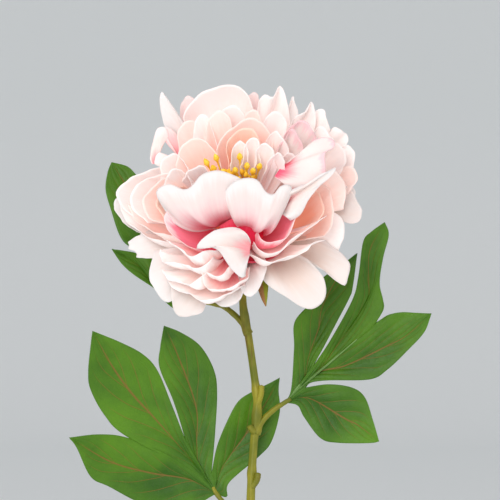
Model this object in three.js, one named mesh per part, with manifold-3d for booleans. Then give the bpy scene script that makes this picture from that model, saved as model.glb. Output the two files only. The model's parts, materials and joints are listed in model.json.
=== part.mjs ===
// A cut peony standing in a plain bud vase: a double bloom on a slender stem with three divided leaves.
// Millimetres, +Z up. The origin is the centre of the vase's foot, and the bloom faces -Y, leaning forward.
import * as THREE from "three";
import { mergeVertices } from "three/addons/utils/BufferGeometryUtils.js";
import Module from "manifold-3d";

const wasm = await Module();
wasm.setup();

// ---------------------------------------------------------------- driving dimensions

const CLEARANCE = 0.3; // between any two pieces

// Vase
const VASE_HEIGHT = 165;
const VASE_FOOT_RADIUS = 28;
const VASE_BELLY_RADIUS = 38;
const VASE_BELLY_HEIGHT = 50; // where the belly is widest
const VASE_NECK_RADIUS = 13; // outside, at its narrowest
const VASE_NECK_HEIGHT = 128; // where the neck is narrowest
const VASE_LIP_RADIUS = 16;
const VASE_WALL = 3.5;
const VASE_FLOOR = 8;
const VASE_FOOT_ROUNDING = 3;

// Stem and petioles
const STEM_RADIUS = 2.6; // at the cut end
const STEM_TOP_RADIUS = 1.8; // under the bloom
const PETIOLE_RADIUS = 1.5;
const BLADE_THICKNESS = 0.7;

// Bloom
const BLOOM_CENTRE = [-4, 5, VASE_HEIGHT + 171]; // the middle of the receptacle
const BLOOM_TILT = 35; // degrees that the bloom's axis leans forward from upright
const PETAL_THICKNESS = 0.5;
const RECEPTACLE_RADIUS = 13;
const RECEPTACLE_HEIGHT = 15;
const CALYX_DROP = 16; // from the bloom's centre down its axis to the top of the stem

const UP = new THREE.Vector3(0, 0, 1);
const degrees = THREE.MathUtils.degToRad;
const point = (x, y, z) => new THREE.Vector3(x, y, z);
const ease = (t) => THREE.MathUtils.smoothstep(t, 0, 1);

// ---------------------------------------------------------------- colours

const finish = (color, roughness, metalness = 0) =>
  new THREE.MeshStandardMaterial({ color, roughness, metalness });
const GLAZE = finish(0xe9e6df, 0.25);
const STEM_GREEN = finish(0x7f7d1c, 0.6);
const LEAF_GREEN = finish(0x4c8420, 0.55);
const SEPAL_GREEN = finish(0x8f8a2a, 0.6);
const PETAL_PINK = finish(0xf6dad3, 0.75);
const STAMEN_YELLOW = finish(0xfcc62c, 0.7);

// ---------------------------------------------------------------- solids from surfaces

// Closes one or more grids of points that share their seams into a sheet of even thickness.
function sheetSolid(grids, thickness) {
  const index = new Map();
  const points = [];
  const place = (p) => {
    const key = [p.x, p.y, p.z].map((c) => Math.round(c * 1000)).join();
    if (!index.has(key)) {
      index.set(key, points.length);
      points.push(p);
    }
    return index.get(key);
  };
  const faces = [];
  for (const grid of grids) {
    const ids = grid.map((row) => row.map(place));
    for (let i = 1; i < ids.length; i++) {
      for (let j = 1; j < ids[i].length; j++) {
        const [a, b, c, d] = [ids[i - 1][j - 1], ids[i - 1][j], ids[i][j], ids[i][j - 1]];
        faces.push([a, b, c], [a, c, d]);
      }
    }
  }
  const kept = faces.filter(([a, b, c]) => a !== b && b !== c && c !== a);

  const normals = points.map(() => point(0, 0, 0));
  const edges = new Map();
  for (const [a, b, c] of kept) {
    const ab = points[b].clone().sub(points[a]);
    const ac = points[c].clone().sub(points[a]);
    const n = ab.cross(ac);
    for (const k of [a, b, c]) normals[k].add(n);
    for (const [s, e] of [[a, b], [b, c], [c, a]]) edges.set(s + "," + e, [s, e]);
  }
  const offset = (side) =>
    points.map((p, i) => p.clone().addScaledVector(normals[i].clone().normalize(), side * thickness / 2));
  const n = points.length;
  const triangles = kept.flatMap(([a, b, c]) => [[a, b, c], [n + a, n + c, n + b]]);
  for (const [s, e] of edges.values()) {
    if (!edges.has(e + "," + s)) triangles.push([s, n + s, n + e], [s, n + e, e]);
  }
  return solidFrom([...offset(1), ...offset(-1)], triangles);
}

function solidFrom(points, triangles) {
  const geometry = new THREE.BufferGeometry().setFromPoints(points).setIndex(triangles.flat());
  return solidOf(geometry);
}

// A closed three.js geometry as a manifold solid.
function solidOf(geometry) {
  const bare = geometry.clone();
  bare.deleteAttribute("normal");
  bare.deleteAttribute("uv");
  const merged = mergeVertices(bare, 1e-4);
  const mesh = new wasm.Mesh({
    numProp: 3,
    vertProperties: new Float32Array(merged.attributes.position.array),
    triVerts: new Uint32Array(merged.index.array),
  });
  return new wasm.Manifold(mesh);
}

function geometryOf(solid) {
  const mesh = solid.getMesh();
  return new THREE.BufferGeometry()
    .setAttribute("position", new THREE.BufferAttribute(new Float32Array(mesh.vertProperties), 3))
    .setIndex(new THREE.BufferAttribute(new Uint32Array(mesh.triVerts), 1));
}

function named(name, solid, material) {
  const mesh = new THREE.Mesh(geometryOf(solid), material);
  mesh.name = name;
  return mesh;
}

// A round tube along a curve, with a radius that changes from end to end, closed at both ends.
function taperedTube(curve, radiusAt, steps, sides) {
  const frames = curve.computeFrenetFrames(steps, false);
  const points = [];
  const triangles = [];
  for (let i = 0; i <= steps; i++) {
    const centre = curve.getPointAt(i / steps);
    for (let j = 0; j < sides; j++) {
      const turn = (2 * Math.PI * j) / sides;
      const out = frames.normals[i].clone().multiplyScalar(Math.cos(turn));
      out.addScaledVector(frames.binormals[i], Math.sin(turn));
      points.push(centre.clone().addScaledVector(out, radiusAt(i / steps)));
    }
  }
  for (let i = 0; i < steps; i++) {
    for (let j = 0; j < sides; j++) {
      const k = (j + 1) % sides;
      const [a, b, c, d] = [i * sides + j, i * sides + k, (i + 1) * sides + k, (i + 1) * sides + j];
      triangles.push([a, b, c], [a, c, d]);
    }
  }
  const last = steps * sides;
  for (let j = 1; j < sides - 1; j++) {
    triangles.push([0, j + 1, j], [last, last + j, last + j + 1]);
  }
  return solidFrom(points, triangles);
}

const curveThrough = (points) => new THREE.CatmullRomCurve3(points.map((p) => point(...p)));

// ---------------------------------------------------------------- vase

// Outside radius at a height: round below the belly, then a smooth shoulder into the neck and a flared lip.
function vaseRadius(z) {
  if (z < VASE_BELLY_HEIGHT) {
    const t = z / VASE_BELLY_HEIGHT;
    return VASE_FOOT_RADIUS + (VASE_BELLY_RADIUS - VASE_FOOT_RADIUS) * Math.sin((t * Math.PI) / 2);
  }
  if (z < VASE_NECK_HEIGHT) {
    const t = (z - VASE_BELLY_HEIGHT) / (VASE_NECK_HEIGHT - VASE_BELLY_HEIGHT);
    return VASE_NECK_RADIUS + ((VASE_BELLY_RADIUS - VASE_NECK_RADIUS) * (1 + Math.cos(t * Math.PI))) / 2;
  }
  const t = (z - VASE_NECK_HEIGHT) / (VASE_HEIGHT - VASE_NECK_HEIGHT);
  return VASE_NECK_RADIUS + (VASE_LIP_RADIUS - VASE_NECK_RADIUS) * t * t;
}

function makeVase() {
  const OUTSIDE_STEPS = 14;
  const INSIDE_STEPS = 12;
  const SIDES = 32;
  const profile = [[0, 0], [vaseRadius(0) - VASE_FOOT_ROUNDING, 0]];
  for (let i = 0; i <= OUTSIDE_STEPS; i++) {
    const z = VASE_FOOT_ROUNDING + ((VASE_HEIGHT - VASE_FOOT_ROUNDING) * i) / OUTSIDE_STEPS;
    profile.push([vaseRadius(z), z]);
  }
  for (let i = INSIDE_STEPS; i >= 0; i--) {
    const z = VASE_FLOOR + ((VASE_HEIGHT - VASE_FLOOR) * i) / INSIDE_STEPS;
    profile.push([vaseRadius(z) - VASE_WALL, z]);
  }
  profile.push([0, VASE_FLOOR]);
  const lathe = new THREE.LatheGeometry(profile.map(([r, z]) => new THREE.Vector2(r, z)), SIDES);
  lathe.rotateX(Math.PI / 2);
  return named("vase", solidOf(lathe), GLAZE);
}

// ---------------------------------------------------------------- stem

// The stem leans on the back of the neck's rim, rises with a gentle S and bends forward under the bloom.
const MOUTH_LEAN = VASE_LIP_RADIUS - VASE_WALL - STEM_RADIUS - 1.5;
const bloomAxis = UP.clone().applyAxisAngle(point(1, 0, 0), degrees(BLOOM_TILT));
const belowBloom = (drop) => point(...BLOOM_CENTRE).addScaledVector(bloomAxis, -drop).toArray();

const STEM_PATH = [
  [3, -14, VASE_FLOOR + STEM_RADIUS / 2 + CLEARANCE],
  [1.5, -4, 90],
  [0, MOUTH_LEAN, VASE_HEIGHT],
  [0.5, 11, VASE_HEIGHT + 35],
  [2, 13.5, VASE_HEIGHT + 61],
  [4, 15, VASE_HEIGHT + 83],
  [2.5, 15.5, VASE_HEIGHT + 97],
  [-1, 15.5, VASE_HEIGHT + 121],
  [-3.5, 15.5, VASE_HEIGHT + 135],
  belowBloom(CALYX_DROP + 7),
  belowBloom(CALYX_DROP),
];

// Where each leaf's lobes meet, and the way its petiole takes there from inside the stem.
const LEAF_LOW = [-18, 18, VASE_HEIGHT + 35];
const LEAF_RIGHT = [18.6, 17, VASE_HEIGHT + 83.9];
const LEAF_HIGH = [-25, 25, VASE_HEIGHT + 137];
const PETIOLES = [
  [[0, 7.5, VASE_HEIGHT + 3], [-3, 10, VASE_HEIGHT + 13], [-9, 14.5, VASE_HEIGHT + 24], LEAF_LOW],
  [[2.8, 14, VASE_HEIGHT + 67], [6, 15, VASE_HEIGHT + 73.5], [12, 16, VASE_HEIGHT + 79.5], LEAF_RIGHT],
  [
    [-0.5, 15.5, VASE_HEIGHT + 120], [-4.5, 16.5, VASE_HEIGHT + 127], [-13, 20, VASE_HEIGHT + 134.5],
    [-19, 23, VASE_HEIGHT + 136.5], LEAF_HIGH,
  ],
];
// Stubs of trimmed side shoots: where each leaves the stem, where it ends, and its radius.
const STUBS = [
  [[3.6, 15, VASE_HEIGHT + 84], [6.4, 14, VASE_HEIGHT + 94.5], 1.5],
  [[2.6, 13, VASE_HEIGHT + 69], [-0.6, 11, VASE_HEIGHT + 71], 1.6],
  [[0.6, 11, VASE_HEIGHT + 41], [4.6, 9.5, VASE_HEIGHT + 45.5], 1.7],
];

// The stem, its petioles and its stubs are one body. Each petiole stops short of its leaf.
function makeStem() {
  const path = curveThrough(STEM_PATH);
  let solid = taperedTube(path, (u) => THREE.MathUtils.lerp(STEM_RADIUS, STEM_TOP_RADIUS, u), 40, 8);
  for (const points of PETIOLES) {
    const whole = curveThrough(points);
    const reach = 1 - (BLADE_THICKNESS + 3 * CLEARANCE) / whole.getLength();
    const shortened = [0, 0.25, 0.5, 0.75, 1].map((u) => whole.getPointAt(u * reach).toArray());
    solid = solid.add(taperedTube(curveThrough(shortened), () => PETIOLE_RADIUS, 8, 7));
  }
  for (const [from, to, radius] of STUBS) {
    solid = solid.add(taperedTube(curveThrough([from, to]), (u) => radius * (1 - 0.35 * u), 2, 7));
  }
  return named("stem", solid, STEM_GREEN);
}

// ---------------------------------------------------------------- leaves

// A leaf is several lobes in clockwise order, drawn across and up from the point where they meet. Each lobe has a
// tip, a midrib, and the points along its left and right edges. A notch is where two lobes part; a lobe's edge
// starts from the notch beside it, or from the leaf's base when there is none.
const LEAVES = [
  {
    name: "leaf_left_low",
    base: LEAF_LOW,
    lean: [0.12, 0.06],
    arch: -4,
    notches: [null, [-13.3, 12.7], [-16.2, 28], [-2.6, 11], null],
    lobes: [
      {
        tip: [-78, 31],
        midrib: [[-15, 8], [-35, 11.4], [-56, 17.5]],
        left: [[-13.8, -6.4], [-35, -6.4], [-57, 4.5], [-66.8, 10], [-74, 25.5]],
        right: [[-27, 21.7], [-47.4, 30.4], [-62, 32.4]],
      },
      {
        tip: [-65.7, 87.5],
        midrib: [[-11, 15], [-32, 39.4], [-45.8, 54.7], [-56.3, 70]],
        left: [[-48.2, 31.3], [-59.6, 42.6], [-66.9, 56.4], [-68, 66], [-66.8, 78.4]],
        right: [[-24.7, 50], [-31.6, 66.5], [-39.3, 75], [-51.5, 81.6]],
      },
      {
        tip: [-28, 90],
        midrib: [[-9, 14], [-10.6, 27.2], [-11, 46.6], [-21.5, 75.8]],
        left: [[-23, 50], [-30.4, 67.8], [-30, 78.4]],
        right: [[-0.8, 31], [0.4, 53], [-1.2, 66], [-8.5, 79], [-19, 86.4]],
      },
      {
        tip: [34, 62],
        midrib: [[-0.5, 3], [3.7, 15], [15.9, 32], [25.4, 46.6]],
        left: [[0.4, 25.5], [6.1, 39.4], [11.7, 49.3], [19, 54.4], [28, 58.8]],
        right: [[5.7, -1.6], [6.9, 6], [23, 20], [29.7, 28], [34, 43.5], [33.3, 54.7]],
      },
    ],
  },
  {
    name: "leaf_right",
    base: LEAF_RIGHT,
    lean: [0.05, 0.06],
    arch: -4,
    notches: [null, [14.8, 18.6], [49, 42.7], [11, 8], null],
    lobes: [
      {
        tip: [39, 80],
        midrib: [[9.5, 9], [13, 24.6], [18.3, 39.8], [20, 51], [29, 68]],
        left: [[3.4, 7], [5, 29], [5.3, 43], [13.8, 53.6], [18.6, 65], [33.2, 75.6]],
        right: [[24, 35.6], [34.5, 55.5], [36.5, 62]],
      },
      {
        tip: [53.5, 96.5],
        midrib: [[18.3, 17.6], [27, 29], [43.8, 53.6], [44.7, 66.8], [45.6, 81.7]],
        left: [[25.2, 34.4], [36.3, 55], [39.5, 68], [42, 86], [46.4, 91.4]],
        right: [[53, 50], [52.6, 55.4], [50.9, 64], [52.6, 77.4], [55.7, 89.7]],
      },
      {
        tip: [78.4, 47.7],
        midrib: [[16.4, 15], [32.3, 19.3], [54.3, 29.9], [64.9, 35.6]],
        left: [[56, 47], [63, 48.3], [70, 48]],
        right: [[13.8, 10.6], [23.6, 11.9], [45.6, 12.3], [55, 17.6], [65.7, 28], [74.6, 37.8]],
      },
      {
        tip: [50.4, -20.7],
        midrib: [[8.6, 2.7], [16.4, 0.9], [32.3, -8.8], [39.2, -12.2]],
        left: [[23.6, 9.7], [35.9, 8], [42.9, 2.7], [47.2, -9.5]],
        right: [[6.9, -1.6], [10.4, -7.9], [19, -18.9], [28, -21.5], [45.6, -21.5]],
      },
    ],
  },
  {
    name: "leaf_left_high",
    base: LEAF_HIGH,
    lean: [0.1, 0.28],
    arch: 0,
    notches: [null, [-25, 24.6], [-14, 30], null],
    lobes: [
      {
        tip: [-49.4, 29],
        midrib: [[-12, 3.5], [-24.4, 6.6], [-34.7, 20]],
        left: [[-13.5, -3.7], [-23, 3.4], [-26.3, 8], [-37, 15], [-43.7, 20.8]],
        right: [[-34, 26.4], [-42, 28]],
      },
      {
        tip: [-50, 76],
        midrib: [[-11, 16], [-20, 32], [-41, 62]],
        left: [[-39, 30], [-45, 36], [-50, 50], [-53, 61], [-52, 70.5]],
        right: [[-20, 45], [-27, 60], [-36, 68.6], [-41.4, 73.7]],
      },
      {
        tip: [-10, 70],
        midrib: [[-4, 15], [-6, 40], [-9, 58]],
        left: [[-16, 45], [-15, 60]],
        right: [[6, 10], [8, 30], [2, 55]],
      },
    ],
  },
];

// A lobe as a grid of points: its rows run from the leaf's base to the tip and its columns from edge to edge.
// The first rows of an edge follow the straight seam between the base and the notch, which both lobes share.
const LOBE_ROWS = 9;
const SEAM_ROWS = 2;
const LOBE_COLUMNS = 4;
const MIDRIB_SINK = 2.2; // how far behind the edges the midrib lies
function lobeGrid(leaf, index) {
  const lobe = leaf.lobes[index];
  const flat = (p) => point(p[0], 0, p[1]);
  const ORIGIN = [0, 0];
  const edge = (points, notch) => {
    if (!notch) {
      const free = new THREE.CatmullRomCurve3([ORIGIN, ...points, lobe.tip].map(flat));
      return (i) => free.getPointAt(i / LOBE_ROWS);
    }
    const beyond = new THREE.CatmullRomCurve3([notch, ...points, lobe.tip].map(flat));
    return (i) => (
      i <= SEAM_ROWS
        ? flat(notch).multiplyScalar(i / SEAM_ROWS)
        : beyond.getPointAt((i - SEAM_ROWS) / (LOBE_ROWS - SEAM_ROWS))
    );
  };
  const left = edge(lobe.left, leaf.notches[index]);
  const right = edge(lobe.right, leaf.notches[index + 1]);
  const spine = new THREE.CatmullRomCurve3([ORIGIN, ...lobe.midrib, lobe.tip].map(flat));
  const grid = [];
  for (let i = 0; i <= LOBE_ROWS; i++) {
    const middle = spine.getPointAt(i / LOBE_ROWS);
    grid.push([]);
    for (let j = 0; j <= LOBE_COLUMNS; j++) {
      const v = (2 * j) / LOBE_COLUMNS - 1;
      const p = middle.clone().lerp((v < 0 ? left : right)(i), Math.abs(v));
      const sink = MIDRIB_SINK * Math.sin((Math.PI * i) / LOBE_ROWS) * (1 - Math.abs(v));
      const rise = leaf.lean[0] * p.x + leaf.lean[1] * p.z + leaf.arch * (p.lengthSq() / 80 ** 2);
      grid[i].push(point(p.x + leaf.base[0], leaf.base[1] + rise + sink, p.z + leaf.base[2]));
    }
  }
  return grid;
}

function makeLeaf(leaf) {
  const grids = leaf.lobes.map((lobe, index) => lobeGrid(leaf, index));
  return named(leaf.name, sheetSolid(grids, BLADE_THICKNESS), LEAF_GREEN);
}

// ---------------------------------------------------------------- bloom

// Outline of each kind of petal: claw is the base's width, taper how much the blade narrows at the tip,
// and its sides end short of the tip by the share round, along a curve of power sharp.
const KINDS = {
  broad: { claw: 3.4, taper: 0.34, round: 0.24, sharp: 2.6 },
  strap: { claw: 3, taper: 0.55, round: 0.22, sharp: 1.2 },
  sepal: { claw: 6, taper: 0.7, round: 0.3, sharp: 1.4 },
};

// depth is how far down the receptacle the petal grows; azimuth is measured round the bloom from its right side.
const petal = (name, depth, azimuth, open, bend, curl, length, width, lean = 0, kind = "broad") => (
  { name, depth, azimuth, open, bend, curl, length, width, lean, kind }
);
const PETALS = [
  petal("inner_back", 3.6, 85, 15, -16, 0, 41, 26),
  petal("inner_right", 3.6, 5, 16, -20, 0, 33, 22),
  petal("inner_left", 3.6, 168, 26, -20, 0, 33, 22),
  petal("inner_front", 3.6, 265, 20, -40, 0, 22, 20),
  petal("inner_back_right", 4.8, 45, 17, -16, 0, 43, 24),
  petal("inner_back_left", 4.8, 128, 19, -16, 0, 42, 26),

  petal("heart_orange", 6.4, 152, 30, -16, 0, 41, 38),
  petal("heart_right", 6.4, 14, 26, -10, 0, 48, 28),
  petal("heart_grey", 7.2, 335, 30, -30, 0, 37, 34),
  petal("heart_back_left", 7.2, 104, 24, -10, 0, 53, 40),
  petal("heart_left", 7.8, 196, 36, -50, 0, 37, 36),
  petal("heart_back", 8.4, 68, 27, -10, 0, 53, 34),
  petal("heart_back_right", 9.4, 36, 31, -10, 0, 53, 32),

  petal("front_left", 8.8, 232, 30, -76, 0, 51, 52),
  petal("front_right", 10, 288, 32, -80, 0, 51, 44),
  petal("front_far_right", 11.4, 322, 46, -60, 0, 50, 44),
  petal("hood", 10.8, 104, 33, -26, -24, 74, 56),
  petal("crown_broad", 12, 72, 35, -8, 0, 70, 38),
  petal("left_cup_inner", 10.8, 172, 46, -36, 0, 48, 44),
  petal("strap_left", 12, 134, 44, 0, 0, 76, 18, 0, "strap"),
  petal("right_white", 12, 10, 44, -20, 0, 60, 52),
  petal("crown_white", 13, 44, 40, -6, 0, 70, 30, 0, "strap"),
  petal("crown_pointed", 14, 58, 44, -6, 0, 72, 28, 0, "strap"),
  petal("left_loop", 13.4, 150, 52, -20, 0, 58, 30),
  petal("crown_narrow", 15, 30, 49, -4, 0, 69, 28, 0, "strap"),

  petal("front_fold", 12.4, 278, 86, 30, 0, 49, 26),
  petal("left_cup_top", 13.4, 176, 62, -40, 0, 58, 50),
  petal("front_low_left", 13.4, 238, 76, -20, 0, 46, 44),
  petal("right_crescent_high", 14.8, 344, 60, -50, 0, 58, 52),
  petal("back_pink", 15, 112, 50, -10, 0, 69, 44),
  petal("left_cup_low", 15.4, 202, 74, -40, 0, 55, 48),
  petal("right_crescent_low", 15.4, 316, 74, -50, 0, 53, 50),
  petal("back_behind", 16.6, 84, 52, -10, 0, 69, 44),
  petal("crown_round", 16.6, 40, 54, -10, 0, 69, 40),
  petal("front_low", 16, 262, 96, -10, 0, 45, 44),

  petal("right_ruffle", 18, 20, 60, -16, 0, 65, 46),
  petal("right_shade", 18.6, 356, 68, -16, 0, 63, 44),
  petal("left_sliver", 18, 172, 74, -10, 0, 62, 34),
  petal("guard_right_tip", 20.2, 338, 80, -10, 0, 63, 46),
  petal("guard_left_high", 19, 192, 88, -10, 0, 56, 42),
  petal("guard_front_right", 19, 306, 94, -6, 0, 50, 52),
  petal("guard_right_low", 22, 326, 90, -6, 0, 52, 46),
  petal("guard_front_left", 19.4, 238, 108, -6, 0, 49, 48),
  petal("guard_left", 21, 212, 102, -6, 0, 53, 46),
];

// Where a petal grows: the radius and height, in the bloom's frame, of a point on the receptacle's dome.
const DOME_LENGTH = (Math.PI / 2) * Math.sqrt((RECEPTACLE_RADIUS ** 2 + RECEPTACLE_HEIGHT ** 2) / 2);
function baseOf(depth) {
  const turn = ((Math.PI / 2) * depth) / DOME_LENGTH;
  return [RECEPTACLE_RADIUS * Math.sin(turn), RECEPTACLE_HEIGHT * Math.cos(turn)];
}

// A petal as a grid of points in the bloom's frame. Its spine leaves the receptacle at the angle open from the
// bloom's axis and turns by bend along its length and by curl near its tip. The petal lies on the surface that
// its spine sweeps round the axis, so petals of nested spines never cross.
function petalGrid(shape, rows, columns) {
  const kind = KINDS[shape.kind];
  const STEPS = 40;
  const spine = [baseOf(shape.depth)];
  const heading = (s) => degrees(shape.open + shape.bend * (s - 0.5) + shape.curl * ease((s - 0.55) / 0.45));
  for (let i = 1; i <= STEPS; i++) {
    const h = heading((i - 0.5) / STEPS);
    const [r, z] = spine[i - 1];
    spine.push([r + (Math.sin(h) * shape.length) / STEPS, z + (Math.cos(h) * shape.length) / STEPS]);
  }
  const at = (u, v) => {
    const along = u * (1 - kind.round * Math.abs(v) ** kind.sharp * ease(u));
    const s = Math.min(along * STEPS, STEPS - 1e-6);
    const i = Math.floor(s);
    const [r, z] = [0, 1].map((k) => THREE.MathUtils.lerp(spine[i][k], spine[i + 1][k], s - i));
    const swell = Math.sin((Math.PI / 2) * Math.min(1, u / 0.62)) ** 1.2;
    const narrowing = 1 - kind.taper * Math.max(0, (u - 0.62) / 0.38) ** 2;
    const half = (THREE.MathUtils.lerp(kind.claw, shape.width, swell) / 2) * narrowing;
    const turn = degrees(shape.azimuth + shape.lean * u * u) + (half * v) / r;
    return point(r * Math.cos(turn), r * Math.sin(turn), z);
  };
  const grid = [];
  for (let i = 0; i <= rows; i++) {
    grid.push([]);
    for (let j = 0; j <= columns; j++) grid[i].push(at(i / rows, (2 * j) / columns - 1));
  }
  return grid;
}

// Petals are laid from the heart outwards, and each opens by small steps until it clears every solid laid before.
const ROWS = 6;
const COLUMNS = 6;
const OPENING_STEP = 1;
const MOST_OPENING = 24;
function makePetals(shapes, prefix, material, laid) {
  const group = new THREE.Group();
  for (const shape of shapes) {
    const opened = { ...shape };
    const blocked = () => {
      const room = sheetSolid([petalGrid(opened, ROWS, COLUMNS)], PETAL_THICKNESS + 2 * CLEARANCE);
      return laid.some((solid) => room.intersect(solid).volume() > 1e-3);
    };
    while (blocked() && opened.open < shape.open + MOST_OPENING) opened.open += OPENING_STEP;
    const solid = sheetSolid([petalGrid(opened, ROWS, COLUMNS)], PETAL_THICKNESS);
    laid.push(solid);
    group.add(named(prefix + shape.name, solid, material));
  }
  return group;
}

// The receptacle is a dome that the petals grow from, over a calyx that narrows to the stem's top.
const RECEPTACLE_INSET = PETAL_THICKNESS / 2 + 0.6; // from the petals' bases
function makeReceptacle() {
  const STEPS = 12;
  const LOWEST_TURN = 135; // degrees from the top of the dome to where the calyx turns in to the stem
  const underside = 2 * CLEARANCE - CALYX_DROP;
  const profile = [[0, underside], [STEM_TOP_RADIUS + 0.6, underside]];
  for (let i = 0; i <= STEPS; i++) {
    const turn = degrees(LOWEST_TURN * (1 - i / STEPS));
    profile.push([
      (RECEPTACLE_RADIUS - RECEPTACLE_INSET) * Math.sin(turn),
      (RECEPTACLE_HEIGHT - RECEPTACLE_INSET) * Math.cos(turn),
    ]);
  }
  const lathe = new THREE.LatheGeometry(profile.map(([r, z]) => new THREE.Vector2(r, z)), 20);
  lathe.rotateX(Math.PI / 2);
  return named("receptacle", solidOf(lathe), SEPAL_GREEN);
}

// Sepals hang below the guard petals, on the calyx.
const SEPALS = [
  petal("front", 26, 284, 124, 40, 0, 32, 10, 0, "sepal"),
  petal("right", 26, 350, 118, 40, 0, 26, 14, 0, "sepal"),
  petal("back", 26, 66, 112, -24, 0, 28, 16, 0, "sepal"),
  petal("back_left", 26, 138, 114, -24, 0, 28, 16, 0, "sepal"),
  petal("left", 26, 216, 116, -30, 0, 28, 16, 0, "sepal"),
];

// The stamens stand on the top of the dome, joined at a small hub, and lean a little forward and to the left.
const STAMEN_COUNT = 18;
const STAMEN_LENGTH = 30;
const STAMEN_RADIUS = 0.45;
const ANTHER_RADIUS = 1;
const ANTHER_LENGTH = 4;
const STAMEN_HUB_RADIUS = 2.2;
const STAMEN_SPREAD = 15; // degrees from the axis at the outermost
const STAMEN_LEAN = [3, -5]; // degrees, about the bloom's X and Y
function makeStamens() {
  const GOLDEN_ANGLE = 137.5;
  const top = RECEPTACLE_HEIGHT - RECEPTACLE_INSET + CLEARANCE;
  const hub = new THREE.CylinderGeometry(STAMEN_HUB_RADIUS, STAMEN_HUB_RADIUS, 3, 10);
  let solid = solidOf(hub.rotateX(Math.PI / 2).translate(0, 0, top + 1.5));
  for (let i = 0; i < STAMEN_COUNT; i++) {
    const azimuth = degrees(i * GOLDEN_ANGLE);
    const share = Math.sqrt((i + 0.5) / STAMEN_COUNT);
    const spread = degrees(STAMEN_SPREAD * share);
    const length = STAMEN_LENGTH * (1 - 0.15 * share);
    const out = point(Math.sin(spread) * Math.cos(azimuth), Math.sin(spread) * Math.sin(azimuth), Math.cos(spread));
    out.applyAxisAngle(point(1, 0, 0), degrees(STAMEN_LEAN[0]));
    out.applyAxisAngle(point(0, 1, 0), degrees(STAMEN_LEAN[1]));
    const foot = point(1.4 * share * Math.cos(azimuth), 1.4 * share * Math.sin(azimuth), top + 1);
    const along = (t) => foot.clone().addScaledVector(out, t).toArray();
    const filament = curveThrough([along(0), along(length)]);
    const anther = curveThrough([along(length - ANTHER_LENGTH / 2), along(length + ANTHER_LENGTH / 2)]);
    const bulge = (u) => ANTHER_RADIUS * (0.3 + 0.7 * Math.sin(Math.PI * u));
    solid = solid.add(taperedTube(filament, () => STAMEN_RADIUS, 1, 5)).add(taperedTube(anther, bulge, 4, 6));
  }
  return solid;
}

// ---------------------------------------------------------------- the whole

const root = new THREE.Group();
root.name = "peony_in_bud_vase";
root.add(makeVase(), makeStem(), ...LEAVES.map(makeLeaf));

const bloom = new THREE.Group();
bloom.position.set(...BLOOM_CENTRE);
bloom.rotation.x = degrees(BLOOM_TILT);
const stamens = makeStamens();
const laid = [stamens];
bloom.add(makeReceptacle(), named("stamens", stamens, STAMEN_YELLOW));
bloom.add(makePetals(PETALS, "petal_", PETAL_PINK, laid));
bloom.add(makePetals(SEPALS, "sepal_", SEPAL_GREEN, laid));
root.add(bloom);

export default root;
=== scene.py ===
# %% [markdown]
# # A cut peony in a bud vase
#
# The packed CAD model is the fixed frame: it says where the vase, the stem, the leaves and the bloom are. Each cell
# below makes one kind of piece around it. Lengths are written in millimetres and turned into metres at the end,
# because a flower is easier to think about in millimetres.

# %% Load the frame
import json
import math

import bmesh
import bpy
import numpy as np
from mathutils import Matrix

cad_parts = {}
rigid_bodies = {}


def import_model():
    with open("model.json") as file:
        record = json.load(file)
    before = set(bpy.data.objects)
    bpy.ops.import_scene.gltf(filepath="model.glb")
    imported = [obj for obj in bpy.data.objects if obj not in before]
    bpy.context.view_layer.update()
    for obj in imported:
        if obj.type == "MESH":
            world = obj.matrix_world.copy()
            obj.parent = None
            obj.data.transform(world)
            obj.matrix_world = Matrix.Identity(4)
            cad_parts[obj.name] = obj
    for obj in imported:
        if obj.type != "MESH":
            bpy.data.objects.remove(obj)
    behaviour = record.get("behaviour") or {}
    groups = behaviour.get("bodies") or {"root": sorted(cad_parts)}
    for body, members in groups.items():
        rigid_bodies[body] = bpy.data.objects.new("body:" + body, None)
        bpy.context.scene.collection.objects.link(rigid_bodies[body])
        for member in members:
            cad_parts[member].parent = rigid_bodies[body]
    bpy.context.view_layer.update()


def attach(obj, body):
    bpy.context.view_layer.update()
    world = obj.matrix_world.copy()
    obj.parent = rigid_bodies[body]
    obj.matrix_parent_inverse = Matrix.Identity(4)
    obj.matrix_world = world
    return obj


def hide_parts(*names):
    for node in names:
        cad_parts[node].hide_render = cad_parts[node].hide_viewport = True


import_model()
MM = 0.001

# %% [markdown]
# ## Putting a surface into a mesh
#
# Petals, leaves, the stem and the vase are all sheets: a grid of points that depends on two parameters. A sheet could
# be drawn by hand in edit mode, but a formula gives every petal its own shape and can be changed in one place.
# `new_object` takes the grid of points as one array, joins neighbours into four-sided faces and keeps the two
# parameters as a UV map, so that a material can tell the base of a petal from its rim.

# %% Grids into meshes
def grid_faces(rows, columns, wrap=False):
    """Faces between neighbouring points of a rows x columns grid; wrap joins the last column to the first."""
    r, c = np.mgrid[0:rows - 1, 0:columns if wrap else columns - 1]
    right = (c + 1) % columns
    return np.stack([r * columns + c, r * columns + right, (r + 1) * columns + right, (r + 1) * columns + c], -1)


def new_object(name, points_mm, faces, uv=None):
    """A smooth-shaded object from points in millimetres and faces, with a UV map given per point."""
    mesh = bpy.data.meshes.new(name)
    mesh.from_pydata((np.reshape(points_mm, (-1, 3)) * MM).tolist(), [], np.reshape(faces, (-1, 4)).tolist())
    if uv is not None:
        layer = mesh.uv_layers.new(name="along_across")
        corners = np.zeros(len(mesh.loops), int)
        mesh.loops.foreach_get("vertex_index", corners)
        layer.data.foreach_set("uv", np.reshape(uv, (-1, 2))[corners].ravel())
    mesh.shade_smooth()
    piece = bpy.data.objects.new(name, mesh)
    bpy.context.scene.collection.objects.link(piece)
    return piece


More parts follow.
